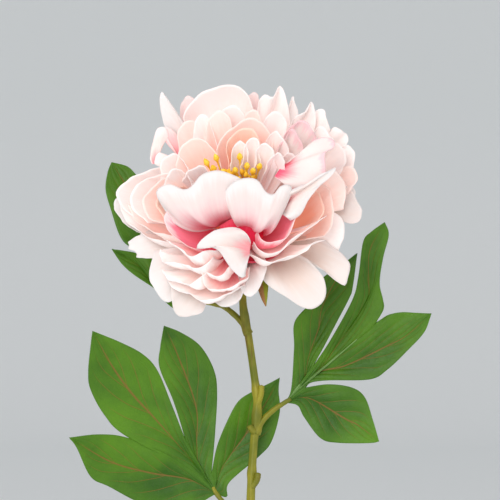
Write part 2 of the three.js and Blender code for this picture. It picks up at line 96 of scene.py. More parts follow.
def thicken(piece, thickness_mm, back_material=0):
    """Gives a sheet an even thickness about its middle; back_material counts on to the material for its back."""
    solid = piece.modifiers.new("thickness", "SOLIDIFY")
    solid.thickness = thickness_mm * MM
    solid.offset = 0
    solid.material_offset = back_material


def join_seams(piece, within_mm):
    """Merges points closer than a distance, so that sheets that share a seam become one."""
    shape = bmesh.new()
    shape.from_mesh(piece.data)
    bmesh.ops.remove_doubles(shape, verts=shape.verts, dist=within_mm * MM)
    shape.to_mesh(piece.data)
    shape.free()
    piece.data.shade_smooth()


def joined_sheets(name, sheets, faces):
    """One object from several sheets, each a pair of points and UV, that all have the same grid of faces."""
    faces = np.reshape(faces, (-1, 4))
    size = np.prod(sheets[0][0].shape[:-1])
    return new_object(
        name, np.concatenate([points.reshape(-1, 3) for points, _ in sheets]),
        np.concatenate([faces + k * size for k in range(len(sheets))]),
        np.concatenate([uv.reshape(-1, 2) for _, uv in sheets]),
    )


def ease(t):
    """A smooth step: 0 below 0, 1 above 1, with level ends."""
    t = np.clip(t, 0, 1)
    return t * t * (3 - 2 * t)


def unit(v):
    """Vectors along the last axis, scaled to length 1."""
    return v / np.linalg.norm(v, axis=-1, keepdims=True)


print("a grid of 3 x 4 points has", grid_faces(3, 4).size // 4, "faces")

# %% [markdown]
# ## Curves that things follow
#
# A stem, a petal's spine and a leaf's edge are each a smooth curve through a few points. A Catmull-Rom spline goes
# through its points, unlike a Bezier curve's handles, so the points can be read straight off as places on the plant.

# %% Splines and frames
def spline(points, t):
    """The curve through the points, at shares t of its length from 0 to 1.

    Between two points, a Catmull-Rom cubic blends them and their neighbours; it is then resampled by its length.
    """
    p = np.asarray(points, float)
    p = np.vstack([2 * p[0] - p[1], p, 2 * p[-1] - p[-2]])
    fine = np.linspace(0, len(p) - 3, 60 * (len(p) - 3) + 1)
    i = np.minimum(fine.astype(int), len(p) - 4)
    f = (fine - i)[:, None]
    a, b, c, d = p[i], p[i + 1], p[i + 2], p[i + 3]
    q = 0.5 * (2 * b + (c - a) * f + (2 * a - 5 * b + 4 * c - d) * f**2 + (3 * b - a - 3 * c + d) * f**3)
    length = np.concatenate([[0], np.cumsum(np.linalg.norm(np.diff(q, axis=0), axis=1))])
    at = np.clip(t, 0, 1) * length[-1]
    return np.stack([np.interp(at, length, q[:, k]) for k in range(q.shape[1])], -1)


def carried_frames(path, face):
    """For each point of a path: the way its upper side faces, and the way across.

    The facing is set at the middle of the path and carried to both ends without twisting.
    """
    forward = unit(np.gradient(path, axis=0))
    up = np.zeros_like(path)
    middle = len(path) // 2
    up[middle] = unit(face - np.dot(face, forward[middle]) * forward[middle])
    for order in (range(middle + 1, len(path)), range(middle - 1, -1, -1)):
        for i in order:
            before = i - 1 if i > middle else i + 1
            up[i] = unit(up[before] - np.dot(up[before], forward[i]) * forward[i])
    return up, np.cross(forward, up)


print("halfway round a bend:", spline([(0, 0), (10, 0), (10, 10)], np.array([0.5])))

# %% [markdown]
# ## Writing materials as expressions
#
# A node tree is a formula. This small class lets it be written as one: adding or multiplying two `Value`s adds a
# Math node, and `node` adds any other node with its settings and inputs.

# %% Values in expressions
class Value:
    """A socket that can be used in an expression; every operator adds a Math node to the same tree."""

    def __init__(self, socket):
        self.socket = socket
        self.tree = socket.id_data

    def math(self, operation, *others):
        return Value(node(self.tree, "ShaderNodeMath", {"operation": operation}, self, *others).outputs[0])

    def __add__(self, other):
        return self.math("ADD", other)

    def __sub__(self, other):
        return self.math("SUBTRACT", other)

    def __rsub__(self, other):
        return node_value(self.tree, "ShaderNodeMath", {"operation": "SUBTRACT"}, other, self)

    def __mul__(self, other):
        return self.math("MULTIPLY", other)

    __radd__ = __add__
    __rmul__ = __mul__

    def between(self, low, high):
        """0 below low and 1 above high, with a smooth step between them."""
        settings = {"interpolation_type": "SMOOTHSTEP"}
        return Value(node(self.tree, "ShaderNodeMapRange", settings, self, low, high).outputs[0])


def node(tree, kind, settings=None, *inputs, **named_inputs):
    """A new node: settings first, then its sockets in order, or by name, from numbers, colours or Values."""
    made = tree.nodes.new(kind)
    for key, value in (settings or {}).items():
        setattr(made, key, value)
    pairs = list(zip(made.inputs, inputs)) + [(made.inputs[k.replace("_", " ")], v) for k, v in named_inputs.items()]
    for socket, value in pairs:
        if isinstance(value, Value):
            tree.links.new(value.socket, socket)
        elif value is not None:
            socket.default_value = value
    return made


def node_value(tree, kind, settings=None, *inputs, **named_inputs):
    """The first output of a new node, ready for an expression."""
    return Value(node(tree, kind, settings, *inputs, **named_inputs).outputs[0])


def mixed(tree, share, first, second):
    """Two colours mixed by a share from 0 to 1."""
    made = node(tree, "ShaderNodeMix", {"data_type": "RGBA"})
    for socket, value in zip((made.inputs["Factor"], made.inputs[6], made.inputs[7]), (share, first, second)):
        if isinstance(value, Value):
            tree.links.new(value.socket, socket)
        else:
            socket.default_value = value
    return Value(made.outputs[2])


print("Value has", sum(callable(part) for part in vars(Value).values()), "operators and methods")

# %% [markdown]
# Most finishes here start from the same few things: the place of a point on the object or on its sheet, some noise,
# and a relief that bends the light without moving the surface. Each is a function, so a finish reads as its recipe.

# %% Materials and their usual inputs
def srgb(red, green, blue):
    """A colour as it looks on a screen, from 0 to 255, turned into the linear values that a shader takes."""
    c = np.array([red, green, blue]) / 255
    linear = np.where(c <= 0.04045, c / 12.92, ((c + 0.055) / 1.055) ** 2.4)
    return (*linear.tolist(), 1.0)


def new_material(name, **constants):
    """A material with a Principled shader whose constant sockets are set; returns the material, tree and shader."""
    material = bpy.data.materials.new(name)
    material.use_nodes = True
    tree = material.node_tree
    shader = tree.nodes["Principled BSDF"]
    for key, value in constants.items():
        shader.inputs[key.replace("_", " ")].default_value = value
    return material, tree, shader


def feed(tree, shader, socket, value):
    """Links a Value into one of the shader's sockets."""
    tree.links.new(value.socket, shader.inputs[socket])


def place_on_object(tree):
    """The place of a shaded point in the object's own metres."""
    return Value(node(tree, "ShaderNodeTexCoord").outputs["Object"])


def place_on_sheet(tree):
    """The place of a shaded point on its sheet: the UV itself, then the share across and the share along."""
    uv = node_value(tree, "ShaderNodeUVMap", {"uv_map": "along_across"})
    parts = node(tree, "ShaderNodeSeparateXYZ", None, uv)
    return uv, Value(parts.outputs[0]), Value(parts.outputs[1])


def noise(tree, where, scale, detail):
    """Soft noise from 0 to 1; scale says how often it changes in each unit of where, detail how rough it is."""
    return node_value(tree, "ShaderNodeTexNoise", None, where, Scale=scale, Detail=detail)


def bump(tree, shader, strength, metres, height):
    """Relief in the shading alone: a height from 0 to 1 times a distance in metres."""
    relief = node_value(tree, "ShaderNodeBump", None, Strength=strength, Distance=metres, Height=height)
    feed(tree, shader, "Normal", relief)


print("a mid grey in linear light:", round(srgb(128, 128, 128)[0], 3))

# %% [markdown]
# ## Petal finish
#
# A peony's petal is almost white at its rim and deepens to pink or crimson at its claw, with faint streaks that fan
# out along it. The UV map's U runs across the petal from 0 to 1 and its V from the claw to the tip, so the colour is
# a function of V with a little noise, and the streaks are noise stretched along V. A painted texture would need a
# picture for each petal; a formula serves them all. Both faces of a petal have the same finish.

# %% Petal materials
def petal_finish(name, claw, blade, rim, claw_reach, rim_start=0.62, glow=0.0):
    """Colour goes from claw to blade over claw_reach of the length, then to rim near every edge.

    A petal in the heart is lit from behind too, through its neighbours; glow stands for that light.
    """
    material, tree, shader = new_material(
        name, Roughness=0.75, Subsurface_Weight=0.12, Subsurface_Radius=(1.0, 0.6, 0.5), Subsurface_Scale=0.002,
        Specular_IOR_Level=0.2, Sheen_Weight=0.15, Sheen_Roughness=0.5,
    )
    uv, across, along = place_on_sheet(tree)
    place = place_on_object(tree)
    cloud = noise(tree, place, 70.0, 3.0)
    stretched = node_value(tree, "ShaderNodeMapping", None, uv, Scale=(26.0, 1.6, 1.0))
    streak = noise(tree, stretched, 1.0, 2.0)
    side = (across - 0.5).math("ABSOLUTE") * 2
    soft_along = along + (cloud - 0.5) * 0.16 + (streak - 0.5) * 0.22
    past_claw = soft_along.between(0.02, claw_reach)
    near_rim = (side + (cloud - 0.5) * 0.3).between(rim_start, 1.0).math("MAXIMUM", soft_along.between(rim_start, 0.98))
    colour = mixed(tree, past_claw, claw, blade)
    colour = mixed(tree, near_rim, colour, rim)
    feed(tree, shader, "Base Color", colour)
    if glow:
        feed(tree, shader, "Emission Color", colour)
        shader.inputs["Emission Strength"].default_value = glow
    fibres = node_value(tree, "ShaderNodeMapping", None, uv, Scale=(90.0, 5.0, 1.0))
    fibre = noise(tree, fibres, 1.0, 3.0)
    nap = noise(tree, place, 2600.0, 1.0)
    relief = fibre * 0.75 + nap * 0.25
    bump(tree, shader, 0.35, 0.00035, relief)
    return material


NEAR_WHITE = srgb(238, 230, 227)
ROSE, CRIMSON = srgb(252, 128, 150), srgb(236, 30, 70)
PETAL_FINISHES = {
    "white": petal_finish("petal white", srgb(252, 160, 165), srgb(238, 221, 215), NEAR_WHITE, 0.42),
    # White in painted shade: the white finish dimmed to beige, for guard petals in the shade of the bloom above.
    "white_in_painted_shade": petal_finish("petal ivory", srgb(240, 160, 160), srgb(228, 207, 197), srgb(232, 220, 215), 0.45),
    "blush": petal_finish(
        "petal blush", srgb(252, 150, 155), srgb(252, 226, 219), srgb(253, 240, 236), 0.5, 0.6, glow=0.07),
    "peach": petal_finish(
        "petal peach", srgb(252, 130, 130), srgb(255, 211, 200), srgb(255, 229, 221), 0.5, 0.6, glow=0.09),
    "orange": petal_finish(
        "petal orange", srgb(250, 112, 76), srgb(255, 190, 160), srgb(255, 214, 196), 0.7, 0.7, glow=0.09),
    "rose": petal_finish("petal rose", CRIMSON, srgb(253, 128, 148), srgb(254, 214, 214), 0.8, 0.8, glow=0.07),
    # Rosy: a long pink claw, partly the petals' own pink base and partly painted shade in the creases under the fold.
    "rosy": petal_finish(
        "petal rosy", srgb(252, 84, 110), srgb(255, 220, 213), srgb(250, 238, 233), 0.85, 0.8, glow=0.07),
    "pink": petal_finish("petal pink", ROSE, srgb(254, 198, 198), srgb(254, 226, 222), 0.6),
    "flushed": petal_finish("petal flushed", srgb(250, 96, 126), srgb(244, 226, 221), srgb(250, 206, 210), 0.5, 0.88),
    "veined": petal_finish("petal veined", srgb(248, 84, 122), srgb(233, 215, 210), NEAR_WHITE, 0.85, 0.8),
    "crimson": petal_finish("petal crimson", CRIMSON, srgb(234, 40, 78), srgb(244, 84, 108), 0.6, 0.8),
}
print(len(PETAL_FINISHES), "petal finishes")

# %% [markdown]
# ## Where petals grow
#
# The claws sit on a dome, as they do on the real receptacle. A petal that heads for a point grows from the side of the
# dome that faces the point. Petals that all grew from one centre would cross there.

# %% The dome that petals grow from
BLOOM_CENTRE = np.array([-4.0, 5.0, 336.0])
BLOOM_AXIS = np.array([0.0, -math.sin(math.radians(35)), math.cos(math.radians(35))])
DOME_RADIUS, DOME_HEIGHT = 10.5, 13.0
PETAL_ROWS, PETAL_COLUMNS, PETAL_THICKNESS, UNEVEN = 44, 36, 0.25, 0.012


def claw_point(toward):
    """Where on the dome a petal grows, given a point that its spine heads for, both measured from the centre."""
    up = np.dot(toward, BLOOM_AXIS)
    out = toward - up * BLOOM_AXIS
    heading = math.atan2(np.linalg.norm(out), up)
    return DOME_RADIUS * math.sin(heading) * unit(out) + DOME_HEIGHT * math.cos(heading) * BLOOM_AXIS


print("dome centre in millimetres:", BLOOM_CENTRE)

# %% [markdown]
# ## A petal from its rim
#
# A petal could be sculpted, but dozens of sculpted petals would be dozens of separate jobs. One function of two shares,
# u from claw to tip and v from side to side, makes them all. It takes the petal's rim, the line that the eye reads
# first, joins every point of it to the claw, and swells the sheet between them.

# %% Petal surface
def petal_surface(rim, bulge, crest=0.55, hold=0.5, claw=None, claw_width=3.0, ruffle=0.8, ragged=0.0, seed=0):
    """Points and UV of a petal given by its rim.

    Straight lines run from a narrow claw to a curve through the rim points, at share v along the rim. Each is bent by
    the vector bulge, times a half sine whose top is at u = crest, times 1 at the middle line and hold at the sides.
    Waves, folds and fine creases along the surface's own normal then grow towards the rim, and the rim is made
    slightly uneven.
    """
    rng = np.random.default_rng(seed)
    rim = np.asarray(rim, float)
    foot = claw_point(rim.mean(0)) if claw is None else np.asarray(claw, float)
    u = np.linspace(0, 1, PETAL_ROWS)[:, None] * np.ones(PETAL_COLUMNS)
    v = np.linspace(0, 1, PETAL_COLUMNS)[None, :] * np.ones((PETAL_ROWS, 1))
    side = 2 * v - 1

    edge = spline(rim, v[0])
    wobble = sum(np.sin(k * 6.3 * v[0] + rng.uniform(0, 7)) / k for k in (1.6, 3.1, 5.3, 8.9))
    edge = foot + (edge - foot) * (1 + (UNEVEN + ragged) * wobble)[:, None]
    start = foot + claw_width * side[0][:, None] * unit(rim[-1] - rim[0])
    points = start * (1 - u[..., None]) + edge * u[..., None]
    swell = np.sin(np.pi * u ** (math.log(0.5) / math.log(crest))) * (1 - (1 - hold) * np.abs(side) ** 2.6)
    points = points + swell[..., None] * np.asarray(bulge, float)

    normal = np.cross(np.gradient(points, axis=0), np.gradient(points, axis=1))
    normal = normal / np.maximum(np.linalg.norm(normal, axis=-1, keepdims=True), 1e-9)
    phase = rng.uniform(0, 7, 4)
    waves = np.sin(9.5 * v + 3.1 * u + phase[0]) + 0.6 * np.sin(18.7 * v - 4.3 * u + phase[1])
    folds = np.sin(6.3 * v + phase[2]) * np.sin(3.6 * u + phase[3])
    creases = np.sin(27 * v + phase[2]) + np.sin(43 * v + phase[3])
    height = ruffle * (0.75 * ease((u - 0.35) / 0.65) ** 1.5 * waves + 0.7 * folds * u + 0.13 * creases * ease(2 * u))
    return points + height[..., None] * normal + BLOOM_CENTRE, np.stack([v, u], -1)


def petal(name, finish, rim, bulge, node="", **shape):
    """One petal on the vase's body; it replaces the CAD petal of its own name, or of the name node, or none."""
    points, uv = petal_surface(rim, bulge, seed=len(name) * 31 + sum(map(ord, name)), **shape)
    piece = new_object("petal_" + name, points, grid_faces(PETAL_ROWS, PETAL_COLUMNS), uv)
    piece.data.materials.append(PETAL_FINISHES[finish])
    thicken(piece, PETAL_THICKNESS)
    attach(piece, "root")
    if node is not None:
        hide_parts("petal_" + (node or name))


def petal_count():
    """How many petals have been made so far."""
    return sum(thing.name.startswith("petal_") for thing in bpy.data.objects)
print(petal_count(), "petals so far")

# %% [markdown]
# ## The back of the bloom
#
# A double peony opens in layers, and each layer gets its own cell. Every row below is one petal: its name, its finish,
# the points of its rim, and the way it bulges. Points are millimetres from the bloom's centre: x to the right, y away
# from the front, z up. At the back stand the broad hood and, on the left, a strap and a curled loop. They could
# be scattered round a circle by a rule, but this bloom is lopsided, and its outline is what people recognise.

# %% Hood, strap and loop
petal("hood", "blush", [(-27, 2, 50), (-30, 0, 57), (-33, -2, 65), (-29, -2, 71.5), (-22, -1, 77), (-14, 0, 80.5),
      (-7, 1, 81), (0, 2, 79), (6, 3, 72), (9, 5, 62), (9, 6, 52)], (0, 11, 3), crest=0.7, hold=0.9, ruffle=1.3)
petal("back_pink", "pink", [(-34, 14, 62), (-33, 14, 72), (-28, 14, 77), (-22, 14, 72)], (0, 8, 0))
petal("back_behind", "pink", [(-2, 14, 68), (2, 14, 77), (7, 12, 78), (10, 12, 68)], (0, 8, 0))
petal("strap_left", "white", [(-36, 4, 48), (-42, 2, 62), (-43.7, 0, 72), (-42.5, 0, 78.5), (-38.5, 0, 73),
      (-33.5, 2, 64), (-30, 4, 52)], (0, 4, 4), ruffle=0.4)
petal("left_loop", "pink", [(-33, 1, 52), (-36.5, 0, 58), (-40.5, -1, 60), (-44.5, -2, 59), (-44, -3, 55.5),
      (-40, -3, 54.5)], (0, -2, 0), claw=(-30.5, 2, 41), claw_width=2.5, hold=0.8, ruffle=0.3)
petal("left_loop_tip", "blush", [(-43, -6, 47), (-41.5, -4, 51), (-39.5, -2, 55), (-41, -2, 59.5), (-45, -3, 58.5),
      (-47.5, -4, 52), (-48.5, -6, 45)], (-1, -2, 0), node=None, claw=(-46, -8, 40.5), claw_width=2.0, hold=0.6,
      ruffle=0.2)
petal("left_loop_low", "blush", [(-38, -7, 44), (-43, -7, 46), (-47, -7, 44.5), (-46.5, -8, 40), (-41, -9, 38),
      (-37, -9, 38.5)], (0, -2, 0), node=None, claw=(-33, -8, 40), claw_width=2.0, hold=0.8, ruffle=0.3)
print(petal_count(), "petals up to the loop")

# %% [markdown]
# ## The crown
#
# The crown's pointed petals step down to the right, and ruffled ones follow. A rim with a few close points at its top
# gives the point; more ruffle, from 0.4 to 1.8, makes the ones at the side look limp.

# %% Crown
petal("crown_broad", "blush", [(6, 6, 56), (8, 2, 71), (12, 0, 78), (16, 0, 75.5), (19.5, 2, 81.5), (22.5, 2, 77),
      (25, 6, 67), (26, 8, 56)], (0, 10, 2), ruffle=1.0)
petal("crown_sliver", "blush", [(23, 13, 64), (26, 13, 73), (27.5, 13, 76.5), (30, 13, 66)], (0, 6, 0), node=None,
      ruffle=0.4)
petal("crown_white", "blush", [(24, 4, 54), (28, 0, 65), (33, -1, 69), (36.5, 0, 73.5), (38.5, 2, 66), (38, 4, 56)],
      (0, 10, 2))
petal("crown_narrow", "blush", [(33, 8, 56), (38, 4, 65), (42, 3, 69), (46, 4, 63), (48.5, 8, 54)], (0, 9, 2))
petal("crown_round", "blush", [(43, 8, 50), (48, 3, 59.5), (53, 2, 59), (55.5, 3, 53), (54, 6, 44)], (0, 9, 2),
      ruffle=1.6)
petal("crown_fold", "blush", [(32, -2, 48), (38, -6, 58), (43, -8, 59), (48, -6, 54), (50, -4, 46)], (0, 8, 0),
      node=None, ruffle=1.4)
petal("right_ruffle", "blush", [(46, 6, 40), (54, 0, 50), (58.5, -2, 46), (59.5, -2, 40), (56, 2, 32)], (0, 8, 2),
      ruffle=1.8)
petal("right_ruffle_low", "peach", [(44, 2, 28), (55, -6, 39), (60, -8, 36), (60, -8, 29), (54, -4, 22)], (0, 8, 2),
      node=None, ruffle=1.8)
petal("right_ruffle_inner", "blush", [(38, -4, 44), (46, -10, 51), (52, -11, 48), (55, -10, 41), (51, -8, 32)],
      (0, 8, 0), node=None, ruffle=1.8)
petal("crown_inner", "blush", [(8, -5, 46), (10, -7, 60), (16, -9, 67), (22, -8, 63), (25, -6, 50)], (0, 8, 0),
      node="crown_pointed", ruffle=1.0)
petal("crown_inner_right", "flushed", [(21, -8, 42), (23.5, -10, 55), (30, -13, 63), (37, -11, 60), (39, -8, 48)],
      (0, 8, 0), node=None, ruffle=1.2)
print(petal_count(), "petals up to the crown")

# %% [markdown]
# ## The heart
#
# Small petals crowd round the stamens, each a little in front of the next, and the deeper ones are warmer in colour,
# partly their own tone and partly painted light that comes through their neighbours.
# Copies of one petal would give the heart away as a pattern, so each has its own rim. The seed for a petal's ruffles
# comes from its name, so a petal keeps its shape when others are added.

# %% Petals round the stamens
petal("heart_back_left", "peach", [(-34, -2, 44), (-34, -6, 56), (-29, -9, 63), (-23, -8, 60), (-19, -4, 48)],
      (0, 9, 0))
petal("heart_white", "blush", [(-27, -9, 50), (-25, -13, 61), (-21, -14, 65.5), (-16, -12, 61), (-13, -9, 50)],
      (0, 7, 0), node=None)
petal("heart_back", "peach", [(-20, -9, 48), (-19, -13, 60), (-13, -16, 67.5), (-7, -15, 64), (-4, -11, 52)],
      (0, 8, 0))
petal("heart_spoon", "blush", [(-14, -4, 54), (-12.5, -9, 66), (-8, -13, 70.5), (-3, -13, 70), (1.5, -10, 65),
      (3, -6, 54)], (0, 9, 2), node=None, ruffle=0.4)
petal("heart_back_right", "peach", [(-3, -6, 50), (-0.5, -10, 63), (5, -13, 68.5), (10, -11, 64), (12, -8, 52)],
      (0, 9, 0))
petal("inner_back", "peach", [(-12, -19, 38), (-12.5, -20, 48), (-8.5, -20, 57), (-1, -20, 63), (6, -19, 64),
      (11.5, -17, 60), (15, -15, 52), (15, -15, 42)], (0, 11, 0), ruffle=0.6)
petal("inner_back_right", "orange", [(-8, -22, 38), (-8, -24, 49), (-2, -25, 57), (5, -25, 58), (10, -24, 51),
      (11, -22, 41)], (0, 9, 0), ruffle=0.6)
petal("heart_right", "blush", [(10, -14, 40), (13, -17, 52), (18, -19, 57), (23, -18, 52), (25, -16, 40)], (0, 8, 0))
petal("inner_small_left", "blush", [(-6, -26, 38), (-5, -28, 47), (-1, -29, 52), (2.5, -28, 47), (3, -26, 38)],
      (0, 5, 0), node="inner_back_left", ruffle=0.6)
petal("inner_small_middle", "blush", [(-1, -26, 38), (1.5, -29, 49), (6, -30, 53), (9.5, -29, 47), (10, -26, 38)],
      (0, 5, 0), node="inner_right", ruffle=0.8)
petal("inner_small_right", "blush", [(6, -27, 36), (8, -31, 46), (12, -32, 50), (16.5, -31, 46), (18, -27, 37)],
      (0, 5, 0), node="inner_front", ruffle=0.8)
petal("heart_grey", "blush", [(11, -28, 34), (15, -32, 42), (19, -33, 45), (23, -31, 40), (22, -28, 33)], (0, 5, 0),
      ruffle=0.8)
petal("heart_curl", "blush", [(18, -22, 34), (20, -25, 42), (24, -26, 46), (28, -25, 41), (27, -22, 33)], (0, 6, 0),
      node=None, ruffle=0.8)
petal("heart_flush", "flushed", [(18, -16, 40), (21, -18, 52), (26, -20, 58), (31, -18, 52), (31, -16, 42)],
      (0, 7, 0), node=None, ruffle=1.0)
petal("heart_orange", "peach", [(-35, -20, 38), (-34, -22, 46), (-31, -22, 50.5), (-25, -22, 53), (-18, -23, 50),
      (-13, -24, 44), (-11, -24, 37)], (0, 8, 0), ruffle=0.5)
petal("heart_left", "blush", [(-43, -19, 32), (-42, -21, 41), (-36.5, -22, 46), (-31, -22, 42), (-29, -22, 34)],
      (0, 7, 0))
petal("inner_left", "blush", [(-41, -30, 26), (-39.5, -33, 34), (-34, -34, 36.5), (-29, -34, 34), (-26, -34, 28)],
      (0, 5, 0))
petal("inner_left_low", "blush", [(-31, -32, 30), (-28, -34, 36), (-23, -35, 38.5), (-18, -35, 36), (-15, -34, 30)],
      (0, 5, 0), node=None)
print(petal_count(), "petals up to the heart")

# %% [markdown]
# ## The right side
#
# On the right a white petal lies over a narrow crescent and a nest of peach and orange ones. A petal that faces the
# viewer like a plate has its own `claw`, hidden among the others; from the dome it would be seen edge on.

# %% Petals on the right
petal("right_white", "flushed", [(19, -31, 31), (24, -34, 27), (33, -36, 28), (42, -35, 30), (43.5, -35, 37),
      (43, -34, 45), (48.5, -30, 49.5), (48, -28, 53), (41, -28, 53.5), (34, -28, 48), (26, -27, 41)], (0, -4, 0),
      claw=(19, -27, 36), claw_width=4.0, hold=1.0, ruffle=0.8)
petal("right_peach", "peach", [(33, -27, -1), (43, -27, 4), (48, -25, 12), (48, -23, 20), (45.5, -21, 27),
      (38, -21, 30)], (0, 9, -3), node="right_shade", ruffle=1.0)
petal("right_orange", "orange", [(24, -36, 3), (33, -36, 6), (40, -34, 11), (43, -30, 18), (40, -28, 25),
      (33, -28, 27)], (0, 9, -4), node=None, ruffle=0.8)
petal("right_crescent_high", "white", [(24, -42, 25), (29, -42, 27), (35, -41, 29.5), (42, -39, 34), (49.5, -35, 38),
      (46, -38, 32.5), (39, -41, 26.5), (34, -43, 20), (30, -44, 13), (25, -43, 10)], (0, -4, 0), claw=(19, -38, 17),
      hold=1.0, ruffle=0.5)
petal("right_fill", "peach", [(22, -29, 24), (30, -32, 31), (40, -31, 35), (49, -25, 36), (54, -18, 27),
      (54, -14, 16)], (0, 3, 0), node=None, ruffle=1.0)
petal("guard_right_tip", "white_in_painted_shade", [(48, -4, 30), (57, -8, 27), (61.5, -10, 20), (63.5, -12, 14), (60.5, -14, 9.5),
      (54, -12, 9.5), (48, -8, 12)], (0, 5, 5), ruffle=1.0)
petal("right_back", "blush", [(44, 4, 36), (52, 0, 34), (58, -3, 30), (59, -4, 22), (54, -4, 14)], (0, 7, 4),
      node=None, ruffle=1.4)
print(petal_count(), "petals up to the right side")

# %% [markdown]
# ## The left side
#
# On the left, petals sit inside each other like cups. Each rim lies a few millimetres inside the one before, so that
# the shadow between them draws the edge.

# %% Petals on the left
petal("left_cup_top", "blush", [(-34, -10, 40), (-46, -13, 38), (-55, -15, 34.5), (-61, -16, 31), (-66.5, -18, 25),
      (-64, -20, 18), (-57, -22, 12)], (2, 11, 2), ruffle=0.7)
petal("left_cup_inner", "blush", [(-38, -20, 35), (-47, -22, 33), (-54, -25, 29), (-59, -27, 23), (-57, -29, 15),
      (-49, -30, 9)], (2, 10, 2), ruffle=0.6)
petal("left_cup_heart", "peach", [(-34, -26, 32), (-43, -29, 30), (-50, -31, 25), (-52.5, -33, 19), (-49, -34, 12),
      (-41, -34, 8)], (2, 10, 2), node=None, ruffle=0.6)
petal("left_cup_core", "orange", [(-31, -31, 28), (-38, -34, 27), (-44, -36, 22), (-44, -37, 15), (-38, -37, 9)],
      (2, 9, 2), node=None, ruffle=0.6)
petal("left_cup_low", "blush", [(-65, -12, 20), (-61.5, -16, 11), (-56, -19, 5), (-48, -22, 1), (-38, -24, -1)],
      (-4, -4, -6), ruffle=0.7)
petal("left_cup_lower", "peach", [(-60, -19, 19), (-57, -23, 11), (-50, -28, 6), (-42, -31, 3), (-33, -32, 1)],
      (-3, -5, -5), node=None, ruffle=0.7)
petal("left_sliver", "white", [(-60, -6, 18), (-66.5, -8, 22), (-67.5, -9, 17), (-64, -10, 10), (-56, -10, 4)],
      (-4, 0, -4), ruffle=0.4)
petal("guard_left_high", "white", [(-46, -13, 4), (-54, -15, 2), (-61.5, -16, -4), (-58, -17, -7), (-52, -18, -9.5),
      (-43, -18, -10)], (0, -3, 3), ruffle=0.8, ragged=0.04)
print(petal_count(), "petals up to the left side")

# %% [markdown]
# ## The front
#
# Two broad petals close over the front with a fold of white below them, and a crimson depth shows between. Under the
# fold, a stack of frilled petals faces down, so their bulge points down too.

# %% Petals of the front
petal("front_left", "veined", [(-36, -37, 9), (-41.5, -39, 17), (-45, -41, 25), (-38, -42, 28.5), (-29, -43, 26),
      (-22, -41, 33.5), (-15, -39, 36), (-7, -38, 34.5), (0, -38, 30.5), (1, -38, 20)], (-2, -17, -9), hold=0.5,
      crest=0.5, claw=(-7, -14, 9), ruffle=0.8)
petal("front_right", "veined", [(-7, -40, 18), (-8.5, -42, 25), (-4, -42, 30), (2, -42, 32), (8, -43, 31),
      (12, -45, 25.5), (16, -46, 23.5), (20, -45, 27.5), (25, -43, 27.5), (23.5, -41, 19), (18, -39, 10)],
      (0, -20, -11), crest=0.5, hold=0.6, claw=(4, -14, 8), ruffle=0.6)
petal("front_fold", "white", [(3.5, -47, 0), (0, -48, 5), (-6, -49, 6.5), (-14, -50, 5), (-19.5, -49, 1),
      (-23.5, -47, -4.5), (-17, -50, -4), (-11.5, -52, -7), (-6, -52, -14.5), (-1, -51, -19.5), (1.5, -50, -19)],
      (0, -6, 1), claw=(4, -45, -5), claw_width=3.5, hold=0.7, ruffle=0.5)
petal("front_low_left", "rose", [(-22, -40, -6), (-30, -42, -3), (-36.5, -42, 3), (-40.5, -40, 12), (-36, -38, 16),
      (-28, -37, 14)], (0, -4, -6), ruffle=0.7)
petal("front_low_fold", "rosy", [(-12, -46, -6), (-20, -48, -6), (-27, -47, -8.5), (-34, -45, -4), (-38.5, -42, -2),
      (-41, -38, 2)], (0, -8, -8), node=None, crest=0.6, ruffle=1.4)
petal("front_low_outer", "blush", [(-15, -46, -9), (-24, -48, -15), (-33, -45, -13), (-40, -41, -11), (-43, -36, -5)],
      (0, -8, -8), node=None, crest=0.6, ruffle=1.2)
petal("front_low", "rosy", [(-3, -46, -6), (-6, -49, -14), (-12, -50, -18.5), (-18, -49, -16), (-22, -46, -9)],
      (0, -8, -8), crest=0.6, ruffle=1.2)
petal("front_low_rim", "blush", [(-19, -46, -17), (-27, -46, -23), (-35, -43, -22), (-42, -37, -15)], (0, -8, -8),
      node=None, crest=0.6, ruffle=1.4)
petal("front_low_tip", "rosy", [(3, -44, -14), (-1, -47, -22), (-9, -48, -26), (-17, -47, -25), (-22, -46, -18)],
      (0, -8, -8), node=None, crest=0.6, ruffle=1.4)
petal("front_low_back", "blush", [(2, -42, -25), (-8, -45, -28), (-16, -45, -31), (-24, -44, -30), (-32, -40, -28),
      (-39, -35, -22)], (0, -8, -8), node=None, crest=0.6, ruffle=1.4)
petal("front_deep", "crimson", [(-22, -30, 0), (-10, -34, -10), (4, -36, -12), (18, -34, -8), (26, -30, 4)],
      (0, -4, -4), node=None, ruffle=0.5)
petal("front_heart", "crimson", [(-12, -33, 7), (-5, -36, 11), (4, -37, 10), (11, -37, 10), (19, -35, 13)],
      (0, -6, -4), node=None, claw=(0, -16, -8), ruffle=0.5)
petal("front_far_right", "rose", [(7, -40, 4), (13, -46, -1), (22, -46, 1.5), (28.5, -43, 10), (29.5, -40, 19),
      (25, -37, 26)], (0, -4, -6), ruffle=0.8)
petal("right_cup", "blush", [(6, -41, -1), (13, -47, -6.5), (25, -47, -2.5), (35, -44, 6), (43.5, -38, 13.5)],
      (0, -6, -6), node=None, ruffle=1.2)
petal("right_crescent_low", "blush", [(5, -41, -6), (13, -47, -11.5), (26, -46, -9), (36, -43, -3.5), (43, -38, 0)],
      (0, -6, -6), ruffle=1.2)
print(petal_count(), "petals up to the front")

# %% [markdown]
# ## The guard petals
#
# Last come the guard petals, the plain outer ones that open first and hang round the stem.

